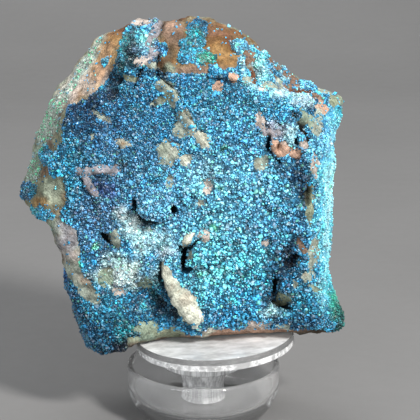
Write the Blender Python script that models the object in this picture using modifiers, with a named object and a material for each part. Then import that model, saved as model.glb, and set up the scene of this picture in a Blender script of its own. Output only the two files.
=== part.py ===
"""Cornetite specimen: a slab of rusty host rock faced with a blue crystal crust, on a clear display stand.

Frame: +Z up, -Y towards the viewer of the crystal face, origin at the centre of the stand's foot.
Lengths below are in millimetres and become metres through MM.
"""
import math
import random

import bmesh
import bpy
from mathutils import Matrix, Vector, noise
from mathutils.bvhtree import BVHTree

MM = 0.001
SEED = 11
GAP = 0.3  # clearance between pieces that touch

# The clear stand, bottom to top: a small dish, a turned post in it and a round plate on the post.
DISH_RADIUS = 15.9
DISH_HEIGHT = 10.8
DISH_WALL = 1.3
DISH_FLOOR = 2.8
DISH_FOOT_RADIUS = 12.2
POST_FOOT_RADIUS = 4.3
POST_NECK_RADIUS = 5.6
POST_HEAD_RADIUS = 8.8
POST_HEAD_DEPTH = 3.6
POST_GROOVES = 5
POST_GROOVE_DEPTH = 0.15
PLATE_RADIUS = 16.4
PLATE_THICKNESS = 2.6
PLATE_TOP = 17.4
PLATE_SHIFT = 2.4  # the plate sits a little to the right of the post
PLATE_TILT = 2.8  # degrees, right side up
EDGE_ROUND = 0.5
TURNED_STEPS = 40
POST_STEPS = 24

# The rock, as (x, z) seen from the front.
CENTRE = (-3.0, 49.0)
SILHOUETTE = [
    (-15.8, 79.9), (-13.2, 82.0), (-8.7, 82.2), (-5.7, 81.6), (-1.4, 82.8), (1.8, 81.7), (6.9, 80.7), (8.9, 78.5),
    (11.6, 76.2), (14.6, 73.2), (19.3, 70.2), (21.0, 68.4), (24.0, 67.4), (27.0, 67.2), (28.6, 65.8), (27.8, 63.9),
    (26.6, 60.3), (26.0, 55.4), (25.5, 49.0), (25.3, 42.7), (25.4, 35.2), (25.6, 29.9), (25.6, 26.7), (26.8, 24.2),
    (27.8, 20.4), (27.7, 17.2), (23.3, 16.6), (12.0, 16.2), (0.0, 16.0), (-9.0, 15.4), (-14.4, 13.8), (-18.3, 13.8),
    (-20.1, 13.2), (-22.4, 13.8), (-23.2, 15.2), (-24.4, 17.0), (-24.9, 19.4), (-25.7, 22.4), (-26.5, 25.5),
    (-28.2, 28.7), (-29.0, 32.3), (-28.8, 35.3), (-30.3, 38.3), (-31.8, 40.6), (-33.1, 42.0), (-35.0, 43.6),
    (-36.2, 45.0), (-36.7, 47.4), (-36.2, 49.9), (-35.3, 52.7), (-34.5, 56.3), (-33.3, 60.1), (-32.0, 63.3),
    (-29.9, 66.9), (-27.7, 70.3), (-24.9, 74.5), (-21.6, 78.6), (-18.4, 79.7),
]
FRONT_EDGE = [
    (-13.6, 77.0), (-10.6, 76.2), (-7.6, 75.6), (-3.6, 75.2), (0.4, 75.2), (4.4, 74.2), (7.6, 72.8), (11.2, 71.6),
    (14.8, 70.0), (18.2, 67.6), (20.2, 65.4), (21.0, 61.6), (21.2, 56.4), (21.4, 48.0), (21.6, 39.5), (21.4, 33.2),
    (22.0, 27.0), (23.2, 24.0), (23.4, 22.2), (19.6, 21.8), (7.6, 22.0), (-0.6, 21.6), (-6.6, 19.8), (-12.8, 18.2),
    (-18.2, 15.8), (-20.2, 15.0), (-21.8, 15.6), (-22.6, 17.8), (-23.6, 20.8), (-24.4, 24.8), (-25.6, 28.0),
    (-26.8, 31.2), (-27.0, 34.8), (-27.8, 37.4), (-29.8, 40.6), (-31.6, 43.6), (-32.2, 47.4), (-31.8, 52.4),
    (-28.8, 57.2), (-27.4, 61.8), (-26.6, 66.4), (-24.4, 68.8), (-22.2, 69.8), (-20.4, 72.8), (-18.4, 75.2),
    (-16.2, 76.8),
]
FRONT_Y = -7.6
SIDE_Y, SIDE_Y_LEAN = 2.0, 3.4  # depth of the silhouette, and how far it moves back towards the top
BACK_Y = 14.0
BACK_INSET = 0.88
COARSE_ROUGHNESS = 0.9
FINE_ROUGHNESS = 0.6
FRONT_SHARE = 0.34  # of the start sphere's area that becomes the front face
ROCK_TRIANGLES = 2680

# Forms on the front face: name: (x, z, half width, half height, turn in degrees, rise towards the viewer).
RELIEF = {
    "middle_swell": (3.0, 46.0, 23.0, 24.0, 0, 2.0),
    "round_nodule": (-10.6, 47.4, 2.8, 2.6, 0, 2.2),
    "cavity_rim": (-1.2, 36.6, 1.6, 3.2, 0, 1.5),
    "pale_arch": (-1.8, 40.4, 4.0, 1.4, 24, 1.6),
    "wedge_ridge": (-4.2, 27.0, 8.4, 2.0, -56, 2.0),
    "left_band": (-24.6, 35.0, 9.0, 2.4, -58, 1.3),
    "bracket_bar": (-21.0, 54.8, 4.8, 1.2, -3, 1.1),
    "bracket_leg": (-23.0, 51.4, 1.2, 3.6, 30, 1.1),
    "rim_crest": (20.4, 54.0, 1.8, 12.0, 4, 1.3),
    "rusty_boss": (15.0, 61.0, 3.2, 3.6, 0, 1.2),
    "left_cheek": (-27.0, 58.0, 6.0, 7.0, 0, 0.8),
    "foot_swell": (-19.0, 23.0, 6.5, 6.5, 0, 1.6),
    "pale_field": (-16.6, 32.6, 6.4, 3.2, 0, 0.7),
    "left_crevice": (-18.6, 39.4, 2.6, 1.0, -45, -1.8),
    "wedge_foot_hollow": (-10.0, 25.4, 7.4, 4.0, -52, -3.0),
    "dark_corner": (-17.8, 72.2, 2.4, 4.6, 14, -2.8),
    "nodule_pit": (-13.0, 45.4, 1.2, 2.4, 40, -2.4),
    "deep_cavity": (-4.2, 36.6, 1.2, 3.4, -10, -3.2),
    "right_channel": (20.6, 50.2, 1.4, 3.6, 0, -2.0),
    "upper_slot": (21.2, 64.0, 1.2, 4.2, 30, -1.8),
    "lower_hollow_a": (17.6, 35.6, 2.2, 3.0, -30, -2.4),
    "lower_hollow_b": (14.0, 30.8, 1.4, 2.6, -10, -2.4),
    "lower_hollow_c": (15.4, 27.4, 2.8, 1.1, -30, -2.2),
}
# The long step across the upper face, from its top; the side to its left stands proud.
STEP_LINE = [
    (-9.4, 77.4), (-9.2, 75.1), (-7.5, 73.6), (-5.5, 72.4), (-4.1, 68.8), (-2.6, 66.0), (-1.0, 64.2), (0.4, 61.3),
    (1.4, 59.2),
]
STEP_RISE = 1.6
STEP_REACH = 9.0
# Lumps and bites on the broken edges: (x, y, z, radius, rise outwards).
EDGE_FORMS = {
    "brown_knob": (-6.2, -2.0, 79.2, 4.4, 1.9),
    "ochre_shoulder": (5.6, 0.0, 77.6, 5.0, 1.2),
    "top_notch": (-9.4, -3.0, 79.4, 1.8, -1.6),
    "left_facet": (-24.0, -1.0, 72.0, 6.0, -0.8),
    "corner_tip": (28.0, 1.0, 66.0, 3.0, 0.5),
    "left_knob": (-35.0, -1.0, 46.4, 3.4, 0.9),
    "foot_bulge": (27.0, -1.0, 20.4, 3.6, 0.7),
}

# Where the host rock shows through the crust: name: (x, z, half width, half height, turn in degrees).
WINDOWS = {
    "olive_cheek": (-31.2, 49.8, 3.1, 4.0, 0),
    "olive_boss": (-3.6, 64.4, 2.4, 2.6, 10),
    "olive_lower": (-7.2, 58.4, 2.6, 3.2, 10),
    "crack_edge": (-7.4, 71.2, 1.9, 2.4, 40),
    "grey_green_field": (-16.4, 32.4, 5.2, 2.8, 0),
    "cream_wedge": (-4.2, 26.8, 6.6, 2.3, -56),
    "left_band": (-27.6, 38.6, 4.8, 2.6, -48),
    "left_band_foot": (-24.0, 31.6, 4.0, 1.7, -52),
    "foot_patch": (-11.6, 21.4, 2.7, 1.9, 0),
    "pale_arch": (-2.4, 40.6, 3.8, 1.6, 24),
    "deep_cavity": (-3.8, 36.6, 1.7, 3.3, -10),
    "nodule_pit": (-12.8, 45.4, 1.5, 2.2, 40),
    "rusty_boss": (14.8, 61.0, 2.8, 2.8, -20),
    "rim_crack": (20.8, 43.0, 1.4, 8.0, 0),
    "rim_crack_top": (20.8, 55.4, 1.4, 4.0, 5),
}
# Where the crust climbs past the front edge: (x, z, half width, half height, turn in degrees).
OVERLAPS = {
    "top_left_saddle": (-13.2, 77.6, 3.2, 4.6, -20),
    "right_rim": (25.0, 40.0, 3.2, 21.0, 0),
    "upper_right_band": (17.6, 70.4, 8.0, 3.0, -38),
    "foot_lobe": (-23.0, 21.0, 4.6, 11.0, 12),
}
# Small growths of their own, placed as seen from a little above the front:
# node name: (x, seen height, half width, half seen height).
TUFTS = {
    "crystal_tuft_top": (-1.2, 74.2, 3.4, 4.4),
    "crystal_tuft_ledge": (6.9, 73.8, 1.7, 1.5),
    "crystal_tuft_shoulder": (-19.5, 70.9, 1.6, 1.5),
    "crystal_tuft_cheek": (-30.8, 52.6, 1.7, 2.3),
    "crystal_tuft_left": (-34.4, 46.0, 1.7, 1.9),
    "crystal_tuft_chin": (-32.2, 41.2, 2.2, 1.5),
}
VIEW_RISE = 17.0  # degrees above the horizon
LONGEST_TUFT_EDGE = 2.4
TUFT_MARGIN = 1.3
CRUST_THICKNESS = 1.0
CRUST_VARIATION = 0.35
LEAST_FACING = 0.5
TUFT_THICKNESS = 1.1
CRYSTAL_RISE = (0.35, 1.0)
CRYSTAL_LEAN = 0.3
EASE_ROUNDS = 30
EASE_STEP = 0.25
CRYSTAL_SHARE = 0.7  # of the crust's faces that carry a raised crystal
CRUST_CLEARANCE = 1.6
BROWN_FOOT = 1.7  # bare strip left above the plate
SEAT_SIDES = 9
SEAT_CLEARANCE = 1.7
SEAT_DEPTH = 26.0


def start_scene():
    """Empty the scene and give the collections for the parts and for the cutters."""
    for obj in list(bpy.data.objects):
        bpy.data.objects.remove(obj)
    made = []
    for name in ("cornetite_specimen", "cutters"):
        collection = bpy.data.collections.new(name)
        bpy.context.scene.collection.children.link(collection)
        made.append(collection)
    return made


def material(name, colour, roughness, transmission=0.0, ior=1.5):
    """A plain Principled material."""
    made = bpy.data.materials.new(name)
    made.use_nodes = True
    shader = made.node_tree.nodes["Principled BSDF"]
    shader.inputs["Base Color"].default_value = (*colour, 1.0)
    shader.inputs["Roughness"].default_value = roughness
    shader.inputs["Metallic"].default_value = 0.0
    shader.inputs["Transmission Weight"].default_value = transmission
    shader.inputs["IOR"].default_value = ior
    return made


def add_object(name, mesh, collection, finish=None):
    """Link a mesh into a collection as a named object."""
    obj = bpy.data.objects.new(name, mesh)
    collection.objects.link(obj)
    if finish:
        mesh.materials.append(finish)
    return obj


def evaluated_mesh(obj):
    """The mesh of an object with its modifiers applied."""
    bpy.context.view_layer.update()
    graph = bpy.context.evaluated_depsgraph_get()
    return bpy.data.meshes.new_from_object(obj.evaluated_get(graph))


# Clear stand

def arc(centre_r, centre_z, radius, start, end, count):
    """Points of a circular arc in the (r, z) plane, from one angle to another in degrees."""
    angles = [math.radians(start + (end - start) * i / (count - 1)) for i in range(count)]
    return [(centre_r + radius * math.cos(a), centre_z + radius * math.sin(a)) for a in angles]


def turned(name, profile, steps, collection, finish):
    """Turn an (r, z) profile, given down its outer side, about the Z axis."""
    mesh = bpy.data.meshes.new(name)
    points = [(r * MM, 0.0, z * MM) for r, z in profile]
    mesh.from_pydata(points, [(i, i + 1) for i in range(len(points) - 1)], [])
    obj = add_object(name, mesh, collection, finish)
    screw = obj.modifiers.new("turn", "SCREW")
    screw.steps = screw.render_steps = steps
    screw.use_merge_vertices = True
    screw.merge_threshold = 1e-5
    screw.use_smooth_shade = True
    return obj


def plate_plane(x):
    """Height of the plate's top face at x."""
    return PLATE_TOP + (x - PLATE_SHIFT) * math.tan(math.radians(PLATE_TILT))


def make_dish(collection, finish):
    """The clear dish that stands on the table, open at the top."""
    inner = DISH_RADIUS - DISH_WALL
    corner = 4.0
    profile = [(0.0, DISH_FLOOR)]
    profile += arc(inner - corner, DISH_FLOOR + corner, corner, -90, 0, 4)
    profile += arc(inner + DISH_WALL / 2, DISH_HEIGHT - DISH_WALL / 2, DISH_WALL / 2, 180, 0, 4)
    profile += [(DISH_RADIUS - 0.1, 5.6), (DISH_RADIUS - 0.7, 3.2), (DISH_RADIUS - 1.9, 1.2)]
    profile += [(DISH_FOOT_RADIUS, 0.0), (0.0, 0.0)]
    return turned("stand_dish", profile, TURNED_STEPS, collection, finish)


def make_post(collection, cutters, finish):
    """The turned post that carries the plate, its head cut to the plate's slant."""
    foot = DISH_FLOOR + GAP
    head_low = PLATE_TOP - PLATE_THICKNESS - POST_HEAD_DEPTH
    top = PLATE_TOP + 1.0
    profile = [(0.0, top), (POST_HEAD_RADIUS, top), (POST_HEAD_RADIUS, head_low + 0.4)]
    profile += [(POST_HEAD_RADIUS - 0.4, head_low), (POST_NECK_RADIUS, head_low)]
    span = head_low - foot - 1.2
    for i in range(POST_GROOVES):
        high = head_low - 0.6 - span * i / POST_GROOVES
        share = (head_low - high) / (head_low - foot)
        radius = POST_NECK_RADIUS + (POST_FOOT_RADIUS - POST_NECK_RADIUS) * share
        profile += [(radius, high), (radius - POST_GROOVE_DEPTH, high - 0.3 * span / POST_GROOVES)]
    profile += [(POST_FOOT_RADIUS, foot + 0.5), (POST_FOOT_RADIUS + 0.4, foot), (0.0, foot)]
    post = turned("stand_post", profile, POST_STEPS, collection, finish)

    bpy.ops.mesh.primitive_cube_add(size=40 * MM)
    cutter = bpy.context.object
    cutter.name = "head_cutter"
    for held in list(cutter.users_collection):
        held.objects.unlink(cutter)
    cutters.objects.link(cutter)
    tilt = math.radians(PLATE_TILT)
    cutter.rotation_euler = (0.0, -tilt, 0.0)
    lift = PLATE_TOP - PLATE_THICKNESS / math.cos(tilt) - GAP - PLATE_SHIFT * math.tan(tilt)
    cutter.location = Vector((0, 0, lift * MM)) + Matrix.Rotation(-tilt, 3, "Y") @ Vector((0, 0, 20 * MM))
    cutter.hide_render = True
    cutter.display_type = "WIRE"
    cut = post.modifiers.new("slant", "BOOLEAN")
    cut.operation = "DIFFERENCE"
    cut.object = cutter
    return post


def make_plate(collection, finish):
    """The thick round plate that the rock rests on."""
    low = -PLATE_THICKNESS
    profile = [(0.0, 0.0)]
    profile += arc(PLATE_RADIUS - EDGE_ROUND, -EDGE_ROUND, EDGE_ROUND, 90, 0, 3)
    profile += arc(PLATE_RADIUS - EDGE_ROUND, low + EDGE_ROUND, EDGE_ROUND, 0, -90, 3)
    profile += [(0.0, low)]
    plate = turned("stand_plate", profile, TURNED_STEPS, collection, finish)
    plate.location = (PLATE_SHIFT * MM, 0.0, PLATE_TOP * MM)
    plate.rotation_euler = (0.0, -math.radians(PLATE_TILT), 0.0)
    return plate


# Host rock

def polar(points):
    """The points of an outline as (angle, radius) about the rock's centre, by angle."""
    found = []
    for x, z in points:
        dx, dz = x - CENTRE[0], z - CENTRE[1]
        found.append((math.atan2(dz, dx), math.hypot(dx, dz)))
    found.sort()
    first, last = found[0], found[-1]
    return [(last[0] - 2 * math.pi, last[1])] + found + [(first[0] + 2 * math.pi, first[1])]


def radius_at(ring, angle):
    """The radius of an outline at an angle, between its points."""
    for (a0, r0), (a1, r1) in zip(ring, ring[1:]):
        if a0 <= angle <= a1:
            return r0 + (r1 - r0) * (angle - a0) / max(a1 - a0, 1e-9)
    return ring[-1][1]


def turned_offset(x, z, cx, cz, half_w, half_h, turn):
    """How far (x, z) lies from a turned ellipse's centre, as a share of its half axes."""
    a = math.radians(turn)
    dx, dz = x - cx, z - cz
    u = (dx * math.cos(a) + dz * math.sin(a)) / half_w
    v = (-dx * math.sin(a) + dz * math.cos(a)) / half_h
    return math.hypot(u, v)


def rough(point, scale, octaves=3):
    """Fractal noise of a point in millimetres, about -1 to 1."""
    return noise.fractal(Vector(point) / scale, 0.9, 2.1, octaves, noise_basis="PERLIN_ORIGINAL")


def step_rise(x, z):
    """How far the front face stands proud at (x, z) because of the long step."""
    nearest, side = STEP_REACH, 0.0
    for (x0, z0), (x1, z1) in zip(STEP_LINE, STEP_LINE[1:]):
        along_x, along_z = x1 - x0, z1 - z0
        share = ((x - x0) * along_x + (z - z0) * along_z) / (along_x ** 2 + along_z ** 2)
        if not 0.0 <= share <= 1.0:
            continue
        off_x, off_z = x - x0 - share * along_x, z - z0 - share * along_z
        if math.hypot(off_x, off_z) < nearest:
            nearest = math.hypot(off_x, off_z)
            side = off_x
    return STEP_RISE * (1 - nearest / STEP_REACH) ** 2 if side < 0 else 0.0


def front_depth(x, z):
    """Depth of the front face at (x, z), before fine roughness."""
    rise = step_rise(x, z)
    for cx, cz, half_w, half_h, turn, height in RELIEF.values():
        share = turned_offset(x, z, cx, cz, half_w, half_h, turn)
        rise += height * math.exp(-(share ** 3))
    return FRONT_Y - rise


def back_depth(x, z):
    """Depth of the back, broken along a few flat fracture planes."""
    dx, dz = x - CENTRE[0], z - CENTRE[1]
    planes = (
        BACK_Y,
        BACK_Y + 5.0 - 0.30 * dx - 0.10 * dz,
        BACK_Y + 6.0 + 0.26 * dx - 0.16 * dz,
        BACK_Y + 4.4 + 0.05 * dx - 0.24 * dz,
        BACK_Y + 6.6 - 0.12 * dx + 0.28 * dz,
    )
    return min(planes)


def rock_point(direction, front_ring, side_ring):
    """Where a direction from the start sphere's centre lands on the rock, in millimetres."""
    facing = -direction.y  # 1 at the front pole, -1 at the back pole
    angle = math.atan2(direction.z, direction.x)
    cap = 1.0 - 2.0 * FRONT_SHARE
    front, side = radius_at(front_ring, angle), radius_at(side_ring, angle)
    back = side * BACK_INSET
    side_y = SIDE_Y + SIDE_Y_LEAN * math.sin(angle)

    def place(radius):
        return CENTRE[0] + radius * math.cos(angle), CENTRE[1] + radius * math.sin(angle)

    if facing > cap:
        x, z = place(front * math.sqrt((1 - facing) / (1 - cap)))
        return Vector((x, front_depth(x, z), z))
    if facing < -cap:
        x, z = place(back * math.sqrt((1 + facing) / (1 - cap)))
        return Vector((x, back_depth(x, z), z))
    share = (cap - facing) / (2 * cap)
    if share < 0.5:
        s = share * 2
        x, z = place(front + (side - front) * s)
        fx, fz = place(front)
        return Vector((x, front_depth(fx, fz) * (1 - s) + side_y * s, z))
    s = share * 2 - 1
    bx, bz = place(back)
    x, z = place(side + (back - side) * s ** 2)
    return Vector((x, side_y * (1 - s) + back_depth(bx, bz) * s, z))


def roughened(point, normal):
    """A point of the rock with its edge forms and its broken surface."""
    facing_front = max(0.0, -normal.y)
    push = COARSE_ROUGHNESS * rough(point, 9.0) * (1.0 - 0.5 * facing_front)
    push += FINE_ROUGHNESS * rough(point + Vector((40, 0, 0)), 2.6) * (0.4 + 0.6 * facing_front)
    for cx, cy, cz, radius, rise in EDGE_FORMS.values():
        share = (point - Vector((cx, cy, cz))).length / radius
        push += rise * math.exp(-(share ** 3))
    return point + normal * push


def make_seat_cutter(cutters):
    """A blunt many-sided prism that leaves the rock a flat seat just above the plate."""
    mesh = bpy.data.meshes.new("seat_cutter")
    bm = bmesh.new()
    radius = (PLATE_RADIUS + SEAT_CLEARANCE) * MM
    bmesh.ops.create_cone(
        bm, cap_ends=True, segments=SEAT_SIDES, radius1=radius, radius2=radius, depth=SEAT_DEPTH * MM
    )
    bm.to_mesh(mesh)
    bm.free()
    cutter = add_object("seat_cutter", mesh, cutters)
    tilt = math.radians(PLATE_TILT)
    centre = Vector((PLATE_SHIFT, 0.0, PLATE_TOP + GAP)) * MM
    cutter.rotation_euler = (0.0, -tilt, 0.0)
    cutter.location = centre - Matrix.Rotation(-tilt, 3, "Y") @ Vector((0, 0, SEAT_DEPTH / 2 * MM))
    cutter.hide_render = True
    cutter.display_type = "WIRE"
    return cutter


def make_rock(collection, cutters, finish):
    """The host rock: a sphere shaped to the outline, roughened, thinned and cut to its seat."""
    front_ring, side_ring = polar(FRONT_EDGE), polar(SILHOUETTE)
    bm = bmesh.new()
    bmesh.ops.create_icosphere(bm, subdivisions=6, radius=1.0)
    for vert in bm.verts:
        vert.co = rock_point(vert.co.normalized(), front_ring, side_ring)
    bmesh.ops.smooth_vert(bm, verts=bm.verts, factor=0.5, use_axis_x=True, use_axis_y=True, use_axis_z=True)
    bm.normal_update()
    moved = {vert: roughened(vert.co, vert.normal) for vert in bm.verts}
    for vert, point in moved.items():
        vert.co = point * MM
    bmesh.ops.recalc_face_normals(bm, faces=bm.faces)
    total = len(bm.faces)
    mesh = bpy.data.meshes.new("host_rock")
    bm.to_mesh(mesh)
    bm.free()
    rock = add_object("host_rock", mesh, collection, finish)
    thin = rock.modifiers.new("thin", "DECIMATE")
    thin.ratio = ROCK_TRIANGLES / total
    thin.use_collapse_triangulate = True
    seat = rock.modifiers.new("seat", "BOOLEAN")
    seat.operation = "DIFFERENCE"
    seat.object = make_seat_cutter(cutters)
    return rock


# Crystal crust

def inside(x, z, ellipses):
    """Whether (x, z) lies in any of these turned ellipses, with a ragged edge."""
    ragged = 0.18 * rough((x, 7.0, z), 2.6, 2)
    return any(turned_offset(x, z, *shape[:5]) < 1.0 + ragged for shape in ellipses)


def seen_height(point):
    """Height of a point as seen from a little above the front."""
    rise = math.radians(VIEW_RISE)
    return point.z * math.cos(rise) + point.y * math.sin(rise)


def faces_viewer(face):
    """Whether a face is turned towards a viewer a little above the front."""
    rise = math.radians(VIEW_RISE)
    return face.normal.z * math.sin(rise) - face.normal.y * math.cos(rise) > 0.12


def split_tuft_edges(bm):
    """Split the long edges under the small growths, so that those have enough crystals."""
    long_edges = []
    for edge in bm.edges:
        point = (edge.verts[0].co + edge.verts[1].co) / (2 * MM)
        seen = (point.x, seen_height(point))
        close = any(turned_offset(*seen, *place, 0) < TUFT_MARGIN for place in TUFTS.values())
        if close and edge.calc_length() > LONGEST_TUFT_EDGE * MM and faces_viewer(edge.link_faces[0]):
            long_edges.append(edge)
    bmesh.ops.subdivide_edges(bm, edges=long_edges, cuts=1)


def near_seat(face):
    """Whether a corner of the face is over the plate or its edge and too low for crystals."""
    for vert in face.verts:
        x, y, z = vert.co / MM
        reach = math.hypot(x - PLATE_SHIFT, y)
        if reach < PLATE_RADIUS + SEAT_CLEARANCE + CRUST_CLEARANCE and z < plate_plane(x) + BROWN_FOOT:
            return True
    return False


def crusted(face, point, front_ring):
    """Whether the crust covers this face of the rock, its middle given in millimetres."""
    x, z = point.x, point.z
    if near_seat(face) or face.normal.y > 0.35:
        return False
    angle = math.atan2(z - CENTRE[1], x - CENTRE[0])
    on_face = math.hypot(x - CENTRE[0], z - CENTRE[1]) < radius_at(front_ring, angle) + 0.4
    if on_face:
        return not inside(x, z, WINDOWS.values())
    return point.y < 5.0 and inside(x, z, OVERLAPS.values())


def tidy_patch(bm, chosen):
    """Drop faces until every vertex of the patch lies in one fan, so that its shell is one closed body."""
    while True:
        drop = set()
        for vert in {v for face in chosen for v in face.verts}:
            around = [face for face in vert.link_faces if face in chosen]
            fan, queue = {around[0]}, [around[0]]
            while queue:
                for edge in queue.pop().edges:
                    if vert not in edge.verts:
                        continue
                    for face in edge.link_faces:
                        if face in around and face not in fan:
                            fan.add(face)
                            queue.append(face)
            if len(fan) < len(around):
                drop |= set(around) - fan if len(fan) * 2 >= len(around) else fan
        if not drop:
            break
        chosen = chosen - drop
    largest, left = set(), set(chosen)
    while left:
        start = left.pop()
        body, queue = {start}, [start]
        while queue:
            for edge in queue.pop().edges:
                for face in edge.link_faces:
                    if face in left:
                        left.discard(face)
                        body.add(face)
                        queue.append(face)
        largest = max(largest, body, key=len)
    return largest


def offset_of(vert):
    """The vertex's outward direction, stretched so that each of its faces moves at least its full step."""
    normal = sum((face.normal * face.calc_area() for face in vert.link_faces), Vector()).normalized()
    least = min(normal.dot(face.normal) for face in vert.link_faces)
    return normal / max(least, LEAST_FACING)


def make_shell(name, chosen, thickness, collection, finish, dice):
    """A closed layer of crystals standing on the chosen faces of the rock."""
    bm = bmesh.new()
    lifts, copies = {}, {}
    for vert in sorted({v for face in chosen for v in face.verts}, key=lambda v: v.index):
        lift = offset_of(vert)
        copies[vert] = bm.verts.new(vert.co + lift * GAP * MM)
        lifts[copies[vert]] = lift
    base = [bm.faces.new([copies[v] for v in face.verts]) for face in sorted(chosen, key=lambda f: f.index)]
    grown = bmesh.ops.extrude_face_region(bm, geom=base, use_keep_orig=True)
    tops = [item for item in grown["geom"] if isinstance(item, bmesh.types.BMVert)]
    caps = [item for item in grown["geom"] if isinstance(item, bmesh.types.BMFace)]
    nearest = {(v.co.x, v.co.y, v.co.z): lift for v, lift in lifts.items()}
    feet = {}
    for vert in tops:
        lift = nearest[(vert.co.x, vert.co.y, vert.co.z)]
        feet[vert] = vert.co.copy()
        depth = thickness + CRUST_VARIATION * rough(vert.co / MM, 2.4, 2)
        vert.co += lift * depth * MM
    bm.normal_update()
    for face in caps:
        if dice.random() > CRYSTAL_SHARE:
            continue
        slant = face.normal.copy()
        across = (face.verts[0].co - face.verts[1].co).length
        raised = bmesh.ops.poke(bm, faces=[face])["verts"][0]
        feet[raised] = raised.co.copy()
        lean = face_tangent(slant, dice) * CRYSTAL_LEAN * across * dice.random()
        raised.co += slant * dice.uniform(*CRYSTAL_RISE) * MM + lean
    ease_crossings(bm, feet)
    bmesh.ops.recalc_face_normals(bm, faces=bm.faces)
    mesh = bpy.data.meshes.new(name)
    bm.to_mesh(mesh)
    bm.free()
    return add_object(name, mesh, collection, finish)


def ease_crossings(bm, feet):
    """Draw faces that cross back towards the points that they grew from, until none cross."""
    for _ in range(EASE_ROUNDS):
        bm.faces.ensure_lookup_table()
        bm.faces.index_update()
        tree = BVHTree.FromBMesh(bm)
        crossing = set()
        for first, second in tree.overlap(tree):
            corners, others = bm.faces[first].verts[:], bm.faces[second].verts[:]
            if not set(corners) & set(others):
                crossing |= set(corners + others)
        for vert in crossing & set(feet):
            vert.co = vert.co.lerp(feet[vert], EASE_STEP)
        if not crossing:
            break


def face_tangent(normal, dice):
    """A random unit direction in the plane of a face."""
    spin = dice.uniform(0, 2 * math.pi)
    side = normal.orthogonal().normalized()
    return side * math.cos(spin) + normal.cross(side) * math.sin(spin)


def make_crystals(rock, collection, finish):
    """The crust on the front face and the small growths beside it."""
    front_ring = polar(FRONT_EDGE)
    bm = bmesh.new()
    bm.from_mesh(evaluated_mesh(rock))
    bm.normal_update()
    split_tuft_edges(bm)
    bmesh.ops.triangulate(bm, faces=[face for face in bm.faces if len(face.verts) > 3])
    bm.faces.ensure_lookup_table()
    bm.verts.index_update()
    bm.faces.index_update()
    bm.normal_update()
    middle = {face: face.calc_center_median() / MM for face in bm.faces}
    dice = random.Random(SEED)
    taken = set()
    for name, (x, height, half_w, half_h) in TUFTS.items():
        wanted = {
            face for face, point in middle.items()
            if turned_offset(point.x, seen_height(point), x, height, half_w, half_h, 0) < 1.0
            and faces_viewer(face)
        }
        patch = tidy_patch(bm, wanted)
        make_shell(name, patch, TUFT_THICKNESS, collection, finish, dice)
        taken |= {vert for face in patch for vert in face.verts}
    covered = {
        face for face, point in middle.items()
        if crusted(face, point, front_ring) and not taken & set(face.verts)
    }
    patch = tidy_patch(bm, covered)
    make_shell("cornetite_crust", patch, CRUST_THICKNESS, collection, finish, dice)
    bm.free()


def main():
    """Build the stand, the rock and its crystals."""
    parts, cutters = start_scene()
    acrylic = material("clear_acrylic", (0.95, 0.96, 0.95), 0.05, transmission=1.0, ior=1.49)
    stone = material("host_rock", (0.36, 0.25, 0.17), 0.85)
    crystal = material("cornetite", (0.03, 0.22, 0.45), 0.35)
    make_dish(parts, acrylic)
    make_post(parts, cutters, acrylic)
    make_plate(parts, acrylic)
    rock = make_rock(parts, cutters, stone)
    make_crystals(rock, parts, crystal)


main()
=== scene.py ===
"""Looks of the cornetite specimen: rusty host rock, its blue crystal crust and the clear stand under it.

Lengths are in metres unless a name ends in _mm; the stand's sizes are in millimetres. Marks on the front are
placed on a grid of 420 steps laid over the front view, from its upper left, about 0.2 mm a step on the rock.
"""
import logging
import math
from dataclasses import dataclass, field
from enum import Enum
from typing import Any, Iterable, Sequence

import bpy
import numpy as np
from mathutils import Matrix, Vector
from mathutils.kdtree import KDTree


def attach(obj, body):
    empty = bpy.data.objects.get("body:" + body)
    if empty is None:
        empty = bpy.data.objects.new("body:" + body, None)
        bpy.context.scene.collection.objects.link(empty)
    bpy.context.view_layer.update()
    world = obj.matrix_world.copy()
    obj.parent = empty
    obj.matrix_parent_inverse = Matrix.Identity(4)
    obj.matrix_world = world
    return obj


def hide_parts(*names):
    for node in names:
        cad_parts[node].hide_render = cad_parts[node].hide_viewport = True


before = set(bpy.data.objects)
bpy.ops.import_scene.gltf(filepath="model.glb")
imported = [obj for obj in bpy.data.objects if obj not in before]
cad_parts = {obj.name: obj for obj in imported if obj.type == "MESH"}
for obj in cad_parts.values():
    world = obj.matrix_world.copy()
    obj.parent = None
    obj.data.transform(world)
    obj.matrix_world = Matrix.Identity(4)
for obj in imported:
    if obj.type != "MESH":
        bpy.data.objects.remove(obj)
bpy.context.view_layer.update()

MM = 0.001
ROOT = "root"
GRID = 420
TONE_SEED = 5
LOG = logging.getLogger("specimen")

Points = np.ndarray
Rgb = tuple[float, float, float]
Solid = tuple[np.ndarray, list[tuple[int, ...]]]
Profile = list[tuple[float, float]]


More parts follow.
